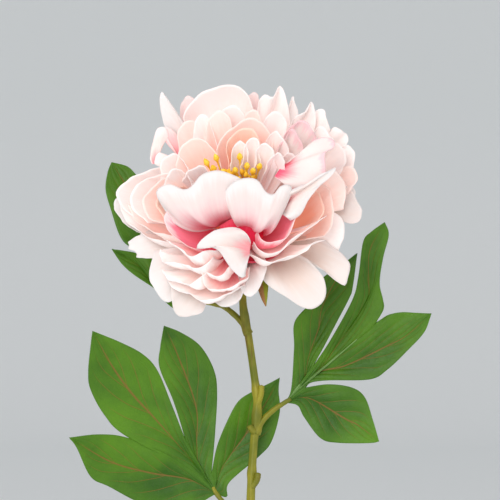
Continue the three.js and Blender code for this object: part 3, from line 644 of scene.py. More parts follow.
# %% Guard petals
petal("guard_left", "white", [(-46, -26, -6), (-49, -29, -17), (-45.5, -32, -26), (-40, -33, -32.5),
      (-34.5, -33, -29), (-29, -33, -20)], (0, -4, 3))
petal("guard_front_left", "white_in_painted_shade", [(-38, -31, -22), (-36.5, -34, -34), (-33, -35, -39.5), (-27, -36, -40),
      (-20.5, -36, -37.5), (-16, -36, -29)], (0, -5, 3))
petal("guard_front", "white", [(-19, -36, -27), (-15, -37, -32), (-10, -38, -35), (-4, -38, -34), (0.5, -38, -29),
      (3, -37, -20)], (0, -5, 3), node=None)
petal("guard_small", "white", [(-3, -38, -20), (1, -39, -28), (5, -39, -29.5), (9, -38, -25), (12, -37, -18),
      (12, -36, -10)], (0, -6, 2), node=None)
petal("guard_front_right", "white_in_painted_shade", [(7, -30, -16), (13, -34, -23.5), (22, -36, -29.5), (31, -37, -35),
      (38, -37, -35.5), (44, -35, -29), (42, -32, -19), (34, -28, -10)], (0, -5, 4), ruffle=0.5)
petal("guard_right_low", "white_in_painted_shade", [(34, -24, -12), (44, -28, -17), (50, -28, -22), (54, -28, -24), (56.5, -26, -17),
      (55.5, -23, -12), (50, -19, -6), (44, -16, 0)], (0, -4, 4), ruffle=0.5)
petal("guard_right", "blush", [(42, -16, -8), (50, -16, -7), (53.5, -14, 2), (52.5, -12, 11), (46, -10, 16)],
      (0, -3, 3), node=None)
print(petal_count(), "petals in all")

# %% [markdown]
# ## Leaves
#
# A peony's leaf is one blade cut into deep lobes. Each lobe here is a sheet between its midrib and its two edges, and
# neighbouring lobes share the straight seam from the leaf's base to the notch between them, so the leaf is one blade.
# The midrib sinks, the side veins pull the surface into shallow quilting, and the edges wave a little. An alpha
# texture on a flat plane would look right only from the front.

# %% Leaf surface
LOBE_ROWS, LOBE_COLUMNS, SEAM_SHARE = 72, 36, 2 / 9
VEIN_PAIRS, VEIN_SLANT = 6.0, 0.42
LEAF_THICKNESS, LOBE_SEED = 0.6, 40


def lobe_surface(leaf, number, seed):
    """Points and UV of one lobe: the midrib and an edge mixed by the share across, then raised by the relief.

    The relief sinks along the midrib by a half sine, bulges between side veins, and waves near the free edges.
    """
    lobe = leaf["lobes"][number]
    u = np.linspace(0, 1, LOBE_ROWS)
    seam_rows = u <= SEAM_SHARE + 1e-9

    def edge(points, notch):
        if notch is None:
            return spline([(0, 0)] + points + [lobe["tip"]], u)
        beyond = spline([notch] + points + [lobe["tip"]], (u - SEAM_SHARE) / (1 - SEAM_SHARE))
        straight = np.outer(np.minimum(u / SEAM_SHARE, 1), notch)
        return np.where(seam_rows[:, None], straight, beyond)

    sides = [edge(lobe["left"], leaf["notches"][number]), edge(lobe["right"], leaf["notches"][number + 1])]
    midrib = spline([(0, 0)] + lobe["midrib"] + [lobe["tip"]], u)
    v = np.linspace(-1, 1, LOBE_COLUMNS + 1)
    side = np.where(v[None, :, None] < 0, sides[0][:, None], sides[1][:, None])
    flat = midrib[:, None] * (1 - np.abs(v))[None, :, None] + side * np.abs(v)[None, :, None]
    x, z = flat[..., 0], flat[..., 1]
    uu, vv = u[:, None] * np.ones_like(v), v[None, :] * np.ones((LOBE_ROWS, 1))

    rng = np.random.default_rng(seed)
    inside = np.sin(np.pi * uu) * (1 - np.abs(vv))
    quilt = np.abs(np.sin(np.pi * VEIN_PAIRS * (uu - VEIN_SLANT * np.abs(vv))))
    quilt = quilt * np.sin(np.pi * np.abs(vv)) * inside**0.5
    free = np.where(seam_rows, 0, ease((u - SEAM_SHARE) * 4) * (1 - u) ** 0.4)[:, None]
    wave = free * np.abs(vv) ** 2 * np.sin(13 * uu + rng.uniform(0, 7) + vv)
    bow = leaf["bow"][number] * np.clip(uu - SEAM_SHARE, 0, 1) ** 2
    lean = leaf["lean"][0] * x + leaf["lean"][1] * z + leaf["arch"] * (x**2 + z**2) / 80**2
    y = lean + 2.2 * inside - 0.55 * quilt + 0.9 * wave + bow
    return np.stack([x, y, z], -1) + leaf["base"], np.stack([(vv + 1) / 2, uu], -1)
print("a lobe is a sheet of", LOBE_ROWS, "x", LOBE_COLUMNS + 1, "points")

# %% [markdown]
# A leaf's outline could be traced in edit mode. As data it can be read: each lobe has a tip, a midrib and two edges,
# in millimetres from the leaf's base, to the right and up, and lobes that meet share a notch.

# %% Leaf shapes
LEAVES = [
    {
        "name": "leaf_left_low", "base": np.array([-18.0, 18.0, 200.0]), "lean": (0.12, 0.06), "arch": -4,
        "bow": (-6, -5, 3, 0), "notches": [None, (-13.3, 12.7), (-16.2, 28), (-2.6, 11), None],
        "lobes": [
            {"tip": (-78, 31), "midrib": [(-15, 8), (-35, 11.4), (-56, 17.5)],
             "left": [(-13.8, -6.4), (-35, -6.4), (-57, 4.5), (-66.8, 10), (-74, 25.5)],
             "right": [(-27, 21.7), (-47.4, 30.4), (-62, 32.4)]},
            {"tip": (-65.7, 87.5), "midrib": [(-11, 15), (-32, 39.4), (-45.8, 54.7), (-56.3, 70)],
             "left": [(-48.2, 31.3), (-59.6, 42.6), (-66.9, 56.4), (-68, 66), (-66.8, 78.4)],
             "right": [(-24.7, 50), (-31.6, 66.5), (-39.3, 75), (-51.5, 81.6)]},
            {"tip": (-28, 90), "midrib": [(-9, 14), (-10.6, 27.2), (-11, 46.6), (-21.5, 75.8)],
             "left": [(-23, 50), (-30.4, 67.8), (-30, 78.4)],
             "right": [(-0.8, 31), (0.4, 53), (-1.2, 66), (-8.5, 79), (-19, 86.4)]},
            {"tip": (34, 62), "midrib": [(-0.5, 3), (3.7, 15), (15.9, 32), (25.4, 46.6)],
             "left": [(0.4, 25.5), (6.1, 39.4), (11.7, 49.3), (19, 54.4), (28, 58.8)],
             "right": [(5.7, -1.6), (6.9, 6), (23, 20), (29.7, 28), (34, 43.5), (33.3, 54.7)]},
        ],
    },
    {
        "name": "leaf_right", "base": np.array([18.6, 17.0, 248.9]), "lean": (0.05, 0.06), "arch": -4,
        "bow": (4, -2, -7, -3), "notches": [None, (14.8, 18.6), (49, 42.7), (11, 8), None],
        "lobes": [
            {"tip": (39, 80), "midrib": [(9.5, 9), (13, 24.6), (18.3, 39.8), (20, 51), (29, 68)],
             "left": [(3.4, 7), (5, 29), (5.3, 43), (13.8, 53.6), (18.6, 65), (33.2, 75.6)],
             "right": [(24, 35.6), (34.5, 55.5), (36.5, 62)]},
            {"tip": (53.5, 96.5), "midrib": [(18.3, 17.6), (27, 29), (43.8, 53.6), (44.7, 66.8), (45.6, 81.7)],
             "left": [(25.2, 34.4), (36.3, 55), (39.5, 68), (42, 86), (46.4, 91.4)],
             "right": [(53, 50), (52.6, 55.4), (50.9, 64), (52.6, 77.4), (55.7, 89.7)]},
            {"tip": (78.4, 47.7), "midrib": [(16.4, 15), (32.3, 19.3), (54.3, 29.9), (64.9, 35.6)],
             "left": [(56, 47), (63, 48.3), (70, 48)],
             "right": [(13.8, 10.6), (23.6, 11.9), (45.6, 12.3), (55, 17.6), (65.7, 28), (74.6, 37.8)]},
            {"tip": (50.4, -20.7), "midrib": [(8.6, 2.7), (16.4, 0.9), (32.3, -8.8), (39.2, -12.2)],
             "left": [(23.6, 9.7), (35.9, 8), (42.9, 2.7), (47.2, -9.5)],
             "right": [(6.9, -1.6), (10.4, -7.9), (19, -18.9), (28, -21.5), (45.6, -21.5)]},
        ],
    },
    {
        "name": "leaf_left_high", "base": np.array([-25.0, 25.0, 302.0]), "lean": (0.1, 0.28), "arch": 0,
        "bow": (0, -4, 0), "notches": [None, (-25, 24.6), (-14, 30), None],
        "lobes": [
            {"tip": (-49.4, 29), "midrib": [(-12, 3.5), (-24.4, 6.6), (-34.7, 20)],
             "left": [(-13.5, -3.7), (-23, 3.4), (-26.3, 8), (-37, 15), (-43.7, 20.8)],
             "right": [(-34, 26.4), (-42, 28)]},
            {"tip": (-50, 76), "midrib": [(-11, 16), (-20, 32), (-41, 62)],
             "left": [(-39, 30), (-45, 36), (-50, 50), (-53, 61), (-52, 70.5)],
             "right": [(-20, 45), (-27, 60), (-36, 68.6), (-41.4, 73.7)]},
            {"tip": (-10, 70), "midrib": [(-4, 15), (-6, 40), (-9, 58)],
             "left": [(-16, 45), (-15, 60)],
             "right": [(6, 10), (8, 30), (2, 55)]},
        ],
    },
]
print("lobes in each leaf:", [len(leaf["lobes"]) for leaf in LEAVES])

# %% [markdown]
# The leaf is a satin mid green, lighter where the noise lets it fade, and lighter towards the edges of each lobe as a
# painted sheen. Thin veins, reddish brown as on a young peony leaf, are drawn with the same formula of u and v that
# shaped the quilting, so paint and relief agree.

# %% Leaf material and pieces
def leaf_finish(name, dark, light, vein):
    """Green mottled by noise, with a midrib line at v = 0 and slanted side veins that fade towards the edges."""
    material, tree, shader = new_material(
        name, Specular_IOR_Level=0.3, Subsurface_Weight=0.06, Subsurface_Radius=(0.5, 1.0, 0.2),
        Subsurface_Scale=0.001,
    )
    _, across, along = place_on_sheet(tree)
    side = (across - 0.5).math("ABSOLUTE") * 2
    place = place_on_object(tree)
    cloud = noise(tree, place, 38.0, 4.0)
    grain = noise(tree, place, 900.0, 2.0)
    bend = noise(tree, place, 60.0, 1.0)
    phase = (along - side * VEIN_SLANT + (bend - 0.5) * 0.05) * VEIN_PAIRS
    gap = (phase.math("FRACT") - 0.5).math("ABSOLUTE") * 2
    branch = gap.between(0.92, 0.99) * (1 - side.between(0.55, 0.85)) * (1 - along.between(0.8, 0.95))
    main = 1 - side.between(0.012, 0.05)
    veins = branch.math("MAXIMUM", main)
    green = mixed(tree, cloud.between(0.2, 0.85), dark, light)
    # Painted sheen: each lobe is mixed towards the light green near its edges.
    green = mixed(tree, side.between(0.3, 1.0) * 0.3, green, light)
    feed(tree, shader, "Base Color", mixed(tree, veins * 0.75, green, vein))
    feed(tree, shader, "Roughness", cloud * 0.25 + 0.36)
    net = node_value(tree, "ShaderNodeTexVoronoi", {"feature": "DISTANCE_TO_EDGE"}, place, Scale=320.0)
    relief = net.between(0.0, 0.08) * 0.35 + grain * 0.25 - veins * 0.6
    bump(tree, shader, 0.4, 0.0005, relief)
    return material


LEAF_TOP = leaf_finish("leaf upper side", srgb(38, 82, 0), srgb(84, 130, 12), srgb(128, 88, 36))
LEAF_BACK = leaf_finish("leaf underside", srgb(92, 130, 60), srgb(124, 158, 92), srgb(128, 120, 70))


for leaf in LEAVES:
    lobes = [lobe_surface(leaf, k, seed=LOBE_SEED + k) for k in range(len(leaf["lobes"]))]
    blade = joined_sheets(leaf["name"] + "_blade", lobes, grid_faces(LOBE_ROWS, LOBE_COLUMNS + 1))
    join_seams(blade, 0.01)
    blade.data.materials.append(LEAF_TOP)
    blade.data.materials.append(LEAF_BACK)
    thicken(blade, LEAF_THICKNESS, back_material=1)
    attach(blade, "root")
    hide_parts(leaf["name"])
print(len(LEAVES), "leaves")

# %% [markdown]
# ## Stem, petioles and stubs
#
# A stem is a circle carried along a curve. The circle is drawn with soft ridges, it thins towards the bloom and it
# swells where a leaf leaves it. A curve object with a bevel would be quicker, but it has one radius profile and no
# ridges. Both ends are closed by shrinking the last rings to a point, as a cut end that has been rounded over.

# %% Tubes
def tube_surface(points, radius, rings=90, sides=28, ridges=0, ridge_depth=0.0, swells=(), seed=0, cap=0.8):
    """Points and UV of a closed tube.

    Its radius is the two end radii mixed by the share along, times 1 plus a cosine of the ridges, plus a Gaussian
    bump for each swelling; the last millimetres shrink as a quarter circle.
    """
    path = spline(points, np.linspace(0, 1, rings))
    up, across = carried_frames(path, np.array([0.2, -1.0, 0.1]))
    length = np.linalg.norm(np.diff(path, axis=0), axis=1).sum()
    t = np.linspace(0, 1, rings)[:, None]
    turn = np.linspace(0, 2 * np.pi, sides, endpoint=False)[None, :]
    rng = np.random.default_rng(seed)
    r = radius[0] * (1 - t) + radius[1] * t + 0 * turn
    r = r * (1 + ridge_depth * np.cos(ridges * turn + 2.5 * t) + 0.03 * np.sin(40 * t + rng.uniform(0, 6)))
    for at, height, width in swells:
        r = r + height * np.exp(-(((t - at) * length / width) ** 2))
    to_end = np.minimum(t, 1 - t) * length
    shrink = np.sqrt(np.clip(1 - (1 - np.clip(to_end / cap, 0, 1)) ** 2, 0, 1))
    r = r * np.maximum(shrink, 0.002)
    circle = np.cos(turn)[..., None] * up[:, None] + np.sin(turn)[..., None] * across[:, None]
    points = path[:, None] + r[..., None] * circle
    return points, np.stack([turn / (2 * np.pi) + 0 * t, t + 0 * turn], -1)


def make_tube(name, points, radius, material, **shape):
    """One tube piece with smooth shading."""
    surface, uv = tube_surface(points, radius, **shape)
    rings, sides = surface.shape[:2]
    piece = new_object(name, surface, grid_faces(rings, sides, wrap=True), uv)
    join_seams(piece, 0.02)
    piece.data.materials.append(material)
    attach(piece, "root")
    return piece


print("a short tube:", tube_surface([(0, 0, 0), (0, 0, 5), (0, 0, 9)], (1, 1), 4, 6)[0].shape, "points")

# %% [markdown]
# A peony's stem is olive with brown scratches along it. Noise that is squeezed across and drawn out along gives the
# scratches without a picture.

# %% Stem material
def stem_finish():
    """Olive, greener in patches, with lengthwise scratches that are brown in the colour and raised in the relief."""
    material, tree, shader = new_material("stem", Specular_IOR_Level=0.4)
    place = place_on_object(tree)
    drawn_out = node_value(tree, "ShaderNodeMapping", None, place, Scale=(520.0, 520.0, 26.0))
    streak = noise(tree, drawn_out, 1.0, 3.0)
    cloud = noise(tree, place, 55.0, 3.0)
    colour = mixed(tree, cloud.between(0.32, 0.7), srgb(96, 104, 16), srgb(150, 142, 36))
    colour = mixed(tree, streak.between(0.52, 0.8) * 0.7, colour, srgb(112, 84, 30))
    feed(tree, shader, "Base Color", colour)
    feed(tree, shader, "Roughness", streak * 0.3 + 0.38)
    bump(tree, shader, 0.5, 0.0004, streak)
    return material


STEM = stem_finish()
print("material:", STEM.name)

# %% [markdown]
# The main stem runs from the bottom of the vase to the calyx, the petioles carry the leaves, and the stubs are what is
# left of cut side shoots. All of them are the same tube on different paths.

# %% Stem, petioles and stubs
CALYX_DROP = 14.0


def below_bloom(drop):
    """A point on the bloom's axis, a distance below the bloom's centre."""
    return tuple(BLOOM_CENTRE - drop * BLOOM_AXIS)


STEM_PATH = [
    (3, -14, 9.6), (1.5, -4, 90), (0, 8.4, 165), (0.5, 11, 200), (2, 13.5, 226), (4, 15, 248), (2.5, 15.5, 262),
    (-1, 15.5, 286), (-3.5, 15.5, 300), below_bloom(CALYX_DROP + 9), below_bloom(CALYX_DROP - 4),
]
stem = make_tube("stem_main", STEM_PATH, (2.6, 1.9), STEM, rings=260, ridges=5, ridge_depth=0.06,
                 swells=[(0.725, 0.7, 4), (0.765, 0.6, 3), (0.63, 0.5, 3), (0.89, 0.4, 4)], cap=1.5)
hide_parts("stem")
PETIOLES = {
    "petiole_low": [(0, 7.5, 166), (-3, 10, 178), (-9, 14.5, 189), (-18, 18, 200), (-20, 18.5, 204)],
    "petiole_right": [(2.8, 14, 232), (6, 15, 238.5), (12, 16, 244.5), (18.6, 16.6, 248.9), (22, 16.9, 251)],
    "petiole_high": [(-0.5, 15.5, 285), (-4.5, 16.5, 292), (-13, 20, 299.5), (-19, 23, 301.5), (-27, 25, 303)],
}
for name, points in PETIOLES.items():
    make_tube(name, points, (1.7, 1.15), STEM, ridges=4, ridge_depth=0.06, swells=[(0.0, 1.0, 5)])
STUBS = {
    "stub_high": [(3.4, 15, 246), (5.6, 13.6, 253), (6.2, 13.2, 258.5)],
    "stub_middle": [(2.6, 13, 233), (0.4, 11.4, 235.5), (-0.6, 11, 237)],
    "stub_low": [(0.9, 11, 204), (3.6, 9.6, 208), (4.4, 9.2, 212)],
}
for name, points in STUBS.items():
    make_tube(name, points, (1.9, 1.5), STEM, rings=30, ridges=3, ridge_depth=0.05)
print("stem, petioles and stubs made")

# %% [markdown]
# ## The calyx
#
# Under the petals sits the green calyx, the dome that they grow from, which narrows to the stem. It is round, so it is
# a profile turned about the bloom's axis. The Spin tool would do the same by hand; the formula follows the axis.

# %% Calyx
def turned_surface(profile, sides, axis=(0, 0, 1), centre=(0, 0, 0)):
    """A profile of radius and height turned round an axis through a centre."""
    profile, axis = np.asarray(profile, float), np.asarray(axis, float)
    turn = np.linspace(0, 2 * np.pi, sides, endpoint=False)
    right = np.array([1.0, 0, 0])
    ring = np.cos(turn)[:, None] * right + np.sin(turn)[:, None] * np.cross(axis, right)
    points = profile[:, 0, None, None] * ring[None] + profile[:, 1, None, None] * axis
    uv = np.stack(np.broadcast_arrays(turn[None, :] / (2 * np.pi), np.linspace(0, 1, len(profile))[:, None]), -1)
    return points + np.asarray(centre, float), uv


def green_part_finish(name, green, brown, split):
    """Green with a brown side: the share across, bent by noise, chooses between them."""
    material, tree, shader = new_material(name, Roughness=0.6, Specular_IOR_Level=0.35)
    _, across, _ = place_on_sheet(tree)
    place = place_on_object(tree)
    cloud = noise(tree, place, 150.0, 4.0)
    colour = mixed(tree, (across + (cloud - 0.5) * 0.2).between(split - 0.04, split + 0.04), green, brown)
    feed(tree, shader, "Base Color", mixed(tree, cloud.between(0.4, 0.8) * 0.3, colour, srgb(90, 88, 20)))
    bump(tree, shader, 0.3, 0.0004, cloud)
    return material


CALYX_SIDES = 48
turn = np.radians(np.linspace(0, 150, 40))
calyx_profile = np.stack([DOME_RADIUS * np.sin(turn), DOME_HEIGHT * np.cos(turn)], -1)
calyx_profile = np.vstack([calyx_profile, [[3.4, -13.0], [2.5, -15.0], [0.01, -15.4]]])
surface, uv = turned_surface(calyx_profile[::-1], CALYX_SIDES, BLOOM_AXIS, BLOOM_CENTRE)
calyx = new_object("calyx", surface, grid_faces(len(calyx_profile), CALYX_SIDES, wrap=True), uv)
join_seams(calyx, 0.03)
calyx.data.materials.append(green_part_finish("calyx green", srgb(134, 144, 40), srgb(120, 132, 36), 0.5))
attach(calyx, "root")
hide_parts("receptacle")
print("calyx profile has", len(calyx_profile), "points")

# %% [markdown]
# ## Sepals
#
# Five sepals, narrow and half brown, stand out from the calyx. A narrow blade is easiest to say by its spine: the
# blade lies across the spine, curls into a gutter by the angle `cup`, and its sides end short of the tip, which makes
# the point. `face` is the way that its upper side looks at the middle of the spine.

# %% Sepals
SEPAL_THICKNESS, SEPAL_FOOT, SEPAL_WAIST, SEPAL_RUFFLE = 0.6, 2.2, 0.4, 0.4


def sepal_surface(spine, half_width, face, cup, seed):
    """Points and UV of a sepal.

    A point at share u along and v across (-1 to 1) sits on the spine at u shortened by half of |v|^1.3, then moves
    across by the half-width at u around an arc of the angle cup, then off the surface by waves that grow to the rim.
    """
    rng = np.random.default_rng(seed)
    spine = np.asarray(spine, float)
    path = spline(np.vstack([claw_point(spine[0]), spine]), np.linspace(0, 1, 121))
    up, across = carried_frames(path, np.asarray(face, float))
    u = np.linspace(0, 1, PETAL_ROWS)[:, None] * np.ones(PETAL_COLUMNS)
    v = np.linspace(-1, 1, PETAL_COLUMNS)[None, :] * np.ones((PETAL_ROWS, 1))

    wobble = sum(np.sin(k * 2.1 * v + rng.uniform(0, 7)) / k for k in (1, 2.3, 4.1, 7.3))
    s = u * (1 - 0.5 * np.abs(v) ** 1.3 * ease(u)) * (1 + UNEVEN * wobble * u**3) / (1 + 2 * UNEVEN)
    swell = np.sin(np.pi / 2 * np.clip(u / SEPAL_WAIST, 0, 1)) ** 1.15
    narrow = 1 - 0.24 * np.clip((u - SEPAL_WAIST) / (1 - SEPAL_WAIST), 0, 1) ** 2
    half = (SEPAL_FOOT + (half_width - SEPAL_FOOT) * swell) * narrow

    index = np.clip(s, 0, 1) * (len(path) - 1)
    low = np.minimum(index.astype(int), len(path) - 2)
    part = (index - low)[..., None]
    centre, up_at, across_at = (a[low] * (1 - part) + a[low + 1] * part for a in (path, up, across))

    bend = np.radians(cup * (0.55 + 0.45 * swell))
    sideways = half * np.sin(bend * v) / bend
    lift = half * (1 - np.cos(bend * v)) / bend
    rim = np.maximum(ease((np.abs(v) - 0.35) / 0.65), ease((u - 0.6) / 0.4))
    phase = rng.uniform(0, 7, 4)
    waves = np.sin(5.2 * v + 4.1 * u + phase[0]) + 0.6 * np.sin(9.7 * v - 6.3 * u + phase[1])
    folds = np.sin(3.1 * v + phase[2]) * np.sin(2.6 * u + phase[3])
    lift = lift + SEPAL_RUFFLE * (0.62 * rim**1.5 * waves + 0.5 * folds * u)
    points = centre + sideways[..., None] * across_at + lift[..., None] * up_at
    return points + BLOOM_CENTRE, np.stack([(v + 1) / 2, u], -1)


SEPAL = green_part_finish("sepal", srgb(140, 142, 22), srgb(158, 108, 60), 0.46)
SEPALS = {
    "front": ([(7, -20, -14), (10.5, -26, -24), (12.5, -28, -36.5)], 5.8, (0.1, -1, 0.1), 25),
    "right": ([(16, 0, -8), (24, 0, -12), (30, 2, -20)], 6, (0.2, -0.3, 0.9), 30),
    "back": ([(4, 14, 2), (8, 24, 6), (12, 34, 8)], 7, (0, -0.5, 0.9), 30),
    "back_left": ([(-14, 10, -2), (-22, 16, -4), (-30, 20, -8)], 7, (0, -0.5, 0.9), 30),
    "left": ([(-12, -8, -12), (-18, -12, -20), (-20, -12, -28)], 5, (-0.3, -1, 0.2), 30),
}
for name, (spine, half_width, face, cup) in SEPALS.items():
    points, uv = sepal_surface(spine, half_width, face, cup, seed=len(name))
    sepal = new_object("sepal_" + name + "_blade", points, grid_faces(PETAL_ROWS, PETAL_COLUMNS), uv)
    sepal.data.materials.append(SEPAL)
    thicken(sepal, SEPAL_THICKNESS)
    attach(sepal, "root")
    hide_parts("sepal_" + name)
print(len(SEPALS), "sepals")

# %% [markdown]
# ## Stamens
#
# In the heart stand the stamens: thin filaments that end in golden anthers, granular with pollen.

# %% Stamen material
def stamen_finish():
    """Golden yellow with a granular relief, as of pollen."""
    material, tree, shader = new_material("stamen", Roughness=0.55, Subsurface_Weight=0.15, Subsurface_Scale=0.001,
                                          Subsurface_Radius=(1.0, 0.6, 0.2))
    place = place_on_object(tree)
    cloud = noise(tree, place, 400.0, 3.0)
    feed(tree, shader, "Base Color", mixed(tree, cloud.between(0.35, 0.7), srgb(255, 196, 30), srgb(255, 220, 80)))
    bump(tree, shader, 0.4, 0.0004, cloud)
    return material


STAMEN = stamen_finish()
print("material:", STAMEN.name)

# %% [markdown]
# All of them are tubes with a swollen end. The ones that show have their own places, and seeded random numbers fill in
# the rest between them. A particle system would scatter copies of one stamen; separate tubes can all lean their own
# way, and are joined into one piece.

# %% Stamens
BIG_ANTHERS = [
    (-20, -30, 42.5), (-14.5, -29, 45), (-16, -31, 39), (-10.5, -31, 37), (-7, -31, 35.5), (-4, -31, 38),
    (-1.5, -29, 45.5), (2.5, -30, 40.5), (6, -31, 37.5), (9.5, -30, 40),
]
SMALL_ANTHERS, BIG_SWELL, SMALL_SWELL, GOLDEN_ANGLE = 30, 1.35, 0.95, 2.399
STAMEN_RINGS, STAMEN_SIDES, STAMEN_SEED = 26, 10, 7

rng = np.random.default_rng(STAMEN_SEED)
tips = [np.array(place, float) for place in BIG_ANTHERS]
for k in range(SMALL_ANTHERS):
    azimuth, spread = GOLDEN_ANGLE * k, math.sqrt((k + 0.5) / SMALL_ANTHERS)
    tips.append(np.array([-5 + 13 * spread * math.cos(azimuth), -25 + 6 * spread * math.sin(azimuth),
                          35 + rng.uniform(-4, 3)]))
filaments = []
for k, tip in enumerate(tips):
    foot = claw_point(tip * [0.3, 0.3, 1] + [0, -8, 10]) * 0.96
    middle = (foot + tip) / 2 + [0, 2, -1] + rng.uniform(-1, 1, 3)
    swell = BIG_SWELL if k < len(BIG_ANTHERS) else SMALL_SWELL
    points, uv = tube_surface([foot, middle, tip], (0.5, 0.35), STAMEN_RINGS, STAMEN_SIDES, ridges=3, ridge_depth=0.18,
                              swells=[(0.93, swell, 1.9)], seed=k, cap=0.9)
    filaments.append((points + BLOOM_CENTRE, uv))
stamens = joined_sheets("stamens_all", filaments, grid_faces(STAMEN_RINGS, STAMEN_SIDES, wrap=True))
join_seams(stamens, 0.005)
stamens.data.materials.append(STAMEN)
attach(stamens, "root")
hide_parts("stamens")
print(len(tips), "stamens")

# %% [markdown]
# ## The vase
#
# The bud vase is thrown on a wheel: a profile turned round the vertical axis, outside and inside in one line, so that
# the wall has its real thickness. The CAD vase's profile is made of short straight lines; this one follows the same
# radii with a smooth curve.

# %% Vase radius
VASE_HEIGHT, FOOT_RADIUS, BELLY_RADIUS, BELLY_HEIGHT = 165.0, 28.0, 38.0, 50.0
NECK_RADIUS, NECK_HEIGHT, LIP_RADIUS, WALL, FLOOR, FOOT_ROUNDING = 13.0, 128.0, 16.0, 3.5, 8.0, 3.0
VASE_SIDES, FINGER_RING = 128, 0.12


def vase_radius(z):
    """Outside radius: a sine up to the belly, a cosine in to the neck, and a parabola out to the lip."""
    low = FOOT_RADIUS + (BELLY_RADIUS - FOOT_RADIUS) * np.sin(np.clip(z / BELLY_HEIGHT, 0, 1) * np.pi / 2)
    t = np.clip((z - BELLY_HEIGHT) / (NECK_HEIGHT - BELLY_HEIGHT), 0, 1)
    shoulder = NECK_RADIUS + (BELLY_RADIUS - NECK_RADIUS) * (1 + np.cos(t * np.pi)) / 2
    f = np.clip((z - NECK_HEIGHT) / (VASE_HEIGHT - NECK_HEIGHT), 0, 1)
    lip = NECK_RADIUS + (LIP_RADIUS - NECK_RADIUS) * f**2
    return np.where(z < BELLY_HEIGHT, low, np.where(z < NECK_HEIGHT, shoulder, lip))


heights = np.array([0, BELLY_HEIGHT, NECK_HEIGHT, VASE_HEIGHT])
print("outside radius at the foot, belly, neck and lip:", vase_radius(heights))


# %% [markdown]
# The profile starts at the middle of the foot, goes up the outside, over the round lip and down the inside to the
# floor. A plain surface with a thickness added would have a square lip.

# %% Vase profile
quarter = np.linspace(0, np.pi / 2, 9)
foot_edge = np.stack([FOOT_RADIUS - FOOT_ROUNDING + FOOT_ROUNDING * np.sin(quarter),
                      FOOT_ROUNDING - FOOT_ROUNDING * np.cos(quarter)], -1)
z_out = np.linspace(FOOT_ROUNDING + 2, VASE_HEIGHT - WALL / 2, 120)
finger_rings = FINGER_RING * np.sin(z_out * 0.9) * np.sin(np.pi * z_out / VASE_HEIGHT)
outside = np.stack([vase_radius(z_out) + finger_rings, z_out], -1)
half_turn = np.linspace(0, np.pi, 15)[1:-1]
lip_middle = LIP_RADIUS - WALL / 2
lip_edge = np.stack([lip_middle + WALL / 2 * np.cos(half_turn), VASE_HEIGHT + WALL / 2 * (np.sin(half_turn) - 1)], -1)
z_in = np.linspace(VASE_HEIGHT - WALL / 2, FLOOR + 4, 90)
inside = np.stack([vase_radius(z_in) - WALL, z_in], -1)
bowl = np.stack([(vase_radius(np.array(FLOOR + 4.0)) - WALL) * np.cos(quarter), FLOOR + 4 - 4 * np.sin(quarter)], -1)
vase_profile = np.vstack([[[0.01, 0]], foot_edge, outside, lip_edge, inside, bowl[1:-1], [[0.01, FLOOR]]])
print("vase profile has", len(vase_profile), "points")

# %% [markdown]
# The glaze is off-white, with the faint rings that a potter's fingers leave and a few iron specks. The broad rings are
# in the profile. The fine ones are noise that changes with height only, as relief in the shading.

# %% Vase and glaze
surface, uv = turned_surface(vase_profile, VASE_SIDES)
vase = new_object("vase_body", surface, grid_faces(len(vase_profile), VASE_SIDES, wrap=True), uv)
join_seams(vase, 0.03)

glaze, tree, shader = new_material("glaze", Coat_Weight=0.5, Coat_Roughness=0.08, Specular_IOR_Level=0.5)
place = place_on_object(tree)
cloud = noise(tree, place, 22.0, 5.0)
speck = noise(tree, place, 620.0, 1.0).between(0.71, 0.76)
body_colour = mixed(tree, cloud.between(0.3, 0.7), srgb(228, 223, 212), srgb(240, 237, 229))
feed(tree, shader, "Base Color", mixed(tree, speck * 0.6, body_colour, srgb(128, 104, 78)))
feed(tree, shader, "Roughness", cloud * 0.18 + 0.2)
rings = node_value(tree, "ShaderNodeMapping", None, place, Scale=(0.0, 0.0, 420.0))
ring = noise(tree, rings, 1.0, 2.0)
bump(tree, shader, 0.15, 0.0006, ring)
vase.data.materials.append(glaze)
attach(vase, "root")
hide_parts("vase")
print("vase made")

# %% [markdown]
# ## Floor, light and camera
#
# The flower stands in a pale studio. A floor that curves up into a wall has no corner to cast a line behind the
# flower.

# %% Floor and wall
STUDIO_REACH, WALL_DISTANCE, WALL_HEIGHT, TURN_RADIUS = 6000.0, 4500.0, 4500.0, 600.0


def studio_sweep():
    """A floor that turns up into a wall: a profile of y and z, carried along x."""
    turn = np.linspace(0, np.pi / 2, 17)
    curve = np.stack([WALL_DISTANCE + TURN_RADIUS * (np.sin(turn) - 1), TURN_RADIUS * (1 - np.cos(turn))], -1)
    profile = np.vstack([[[-STUDIO_REACH, 0]], curve, [[WALL_DISTANCE, WALL_HEIGHT]]])
    points = np.array([[[x, y, z] for x in (-STUDIO_REACH, STUDIO_REACH)] for y, z in profile])
    return new_object("studio_sweep", points, grid_faces(len(profile), 2))


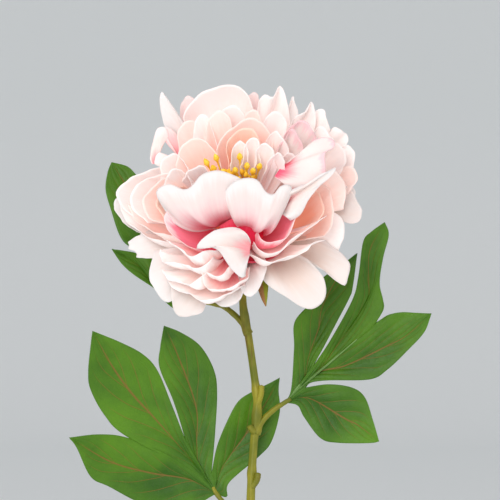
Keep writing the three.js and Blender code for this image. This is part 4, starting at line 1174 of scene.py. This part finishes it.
sweep = studio_sweep()
backdrop, tree, shader = new_material("backdrop paper", Roughness=0.95, Specular_IOR_Level=0.1)
shader.inputs["Base Color"].default_value = srgb(239, 242, 242)
sweep.data.materials.append(backdrop)
print("the wall stands", WALL_DISTANCE * MM, "metres behind the flower")

# %% [markdown]
# One large soft light does most of the work from the upper left, and the pale world fills the shadows. A sun lamp
# would draw hard shadows between the petals.

# %% Lights
scene = bpy.context.scene
world = bpy.data.worlds.new("studio air")
scene.world = world
world.use_nodes = True
world.node_tree.nodes["Background"].inputs["Color"].default_value = (0.98, 0.98, 1.0, 1.0)
world.node_tree.nodes["Background"].inputs["Strength"].default_value = 0.64
scene.view_settings.view_transform = "Standard"


def soft_light(name, place_mm, aim_mm, size_mm, watts):
    """A square area light that faces the point aim."""
    lamp = bpy.data.lights.new(name, "AREA")
    lamp.size = size_mm * MM
    lamp.energy = watts
    holder = bpy.data.objects.new(name, lamp)
    place, aim = np.array(place_mm, float), np.array(aim_mm, float)
    holder.location = place * MM
    direction = aim - place
    holder.rotation_euler = (
        math.acos(-direction[2] / np.linalg.norm(direction)), 0, math.atan2(direction[1], direction[0]) - math.pi / 2,
    )
    scene.collection.objects.link(holder)


soft_light("key", (-450, -1350, 850), BLOOM_CENTRE, 1100, 14.5)
soft_light("fill", (900, -900, 500), BLOOM_CENTRE, 900, 2)
print("key and fill lights made")

# %% [markdown]
# A long lens from nearly two metres away keeps the bloom's proportions natural. The camera is level with the middle of
# what it sees, and its lens is worked out from the width that has to fill the frame.

# %% Camera
VIEW_WIDTH, VIEW_DISTANCE, VIEW_HEIGHT = 265.0, 1800.0, 330.5
camera_data = bpy.data.cameras.new("camera")
camera_data.sensor_width = 36.0
camera_data.lens = camera_data.sensor_width * VIEW_DISTANCE / VIEW_WIDTH
camera = bpy.data.objects.new("camera", camera_data)
camera.location = (0, -VIEW_DISTANCE * MM, VIEW_HEIGHT * MM)
camera.rotation_euler = (math.pi / 2, 0, 0)
scene.collection.objects.link(camera)
scene.camera = camera
print("lens in millimetres:", round(camera_data.lens, 1))

# %% [markdown] ## End of the scene
# The pieces may stand only a little proud of the CAD model.
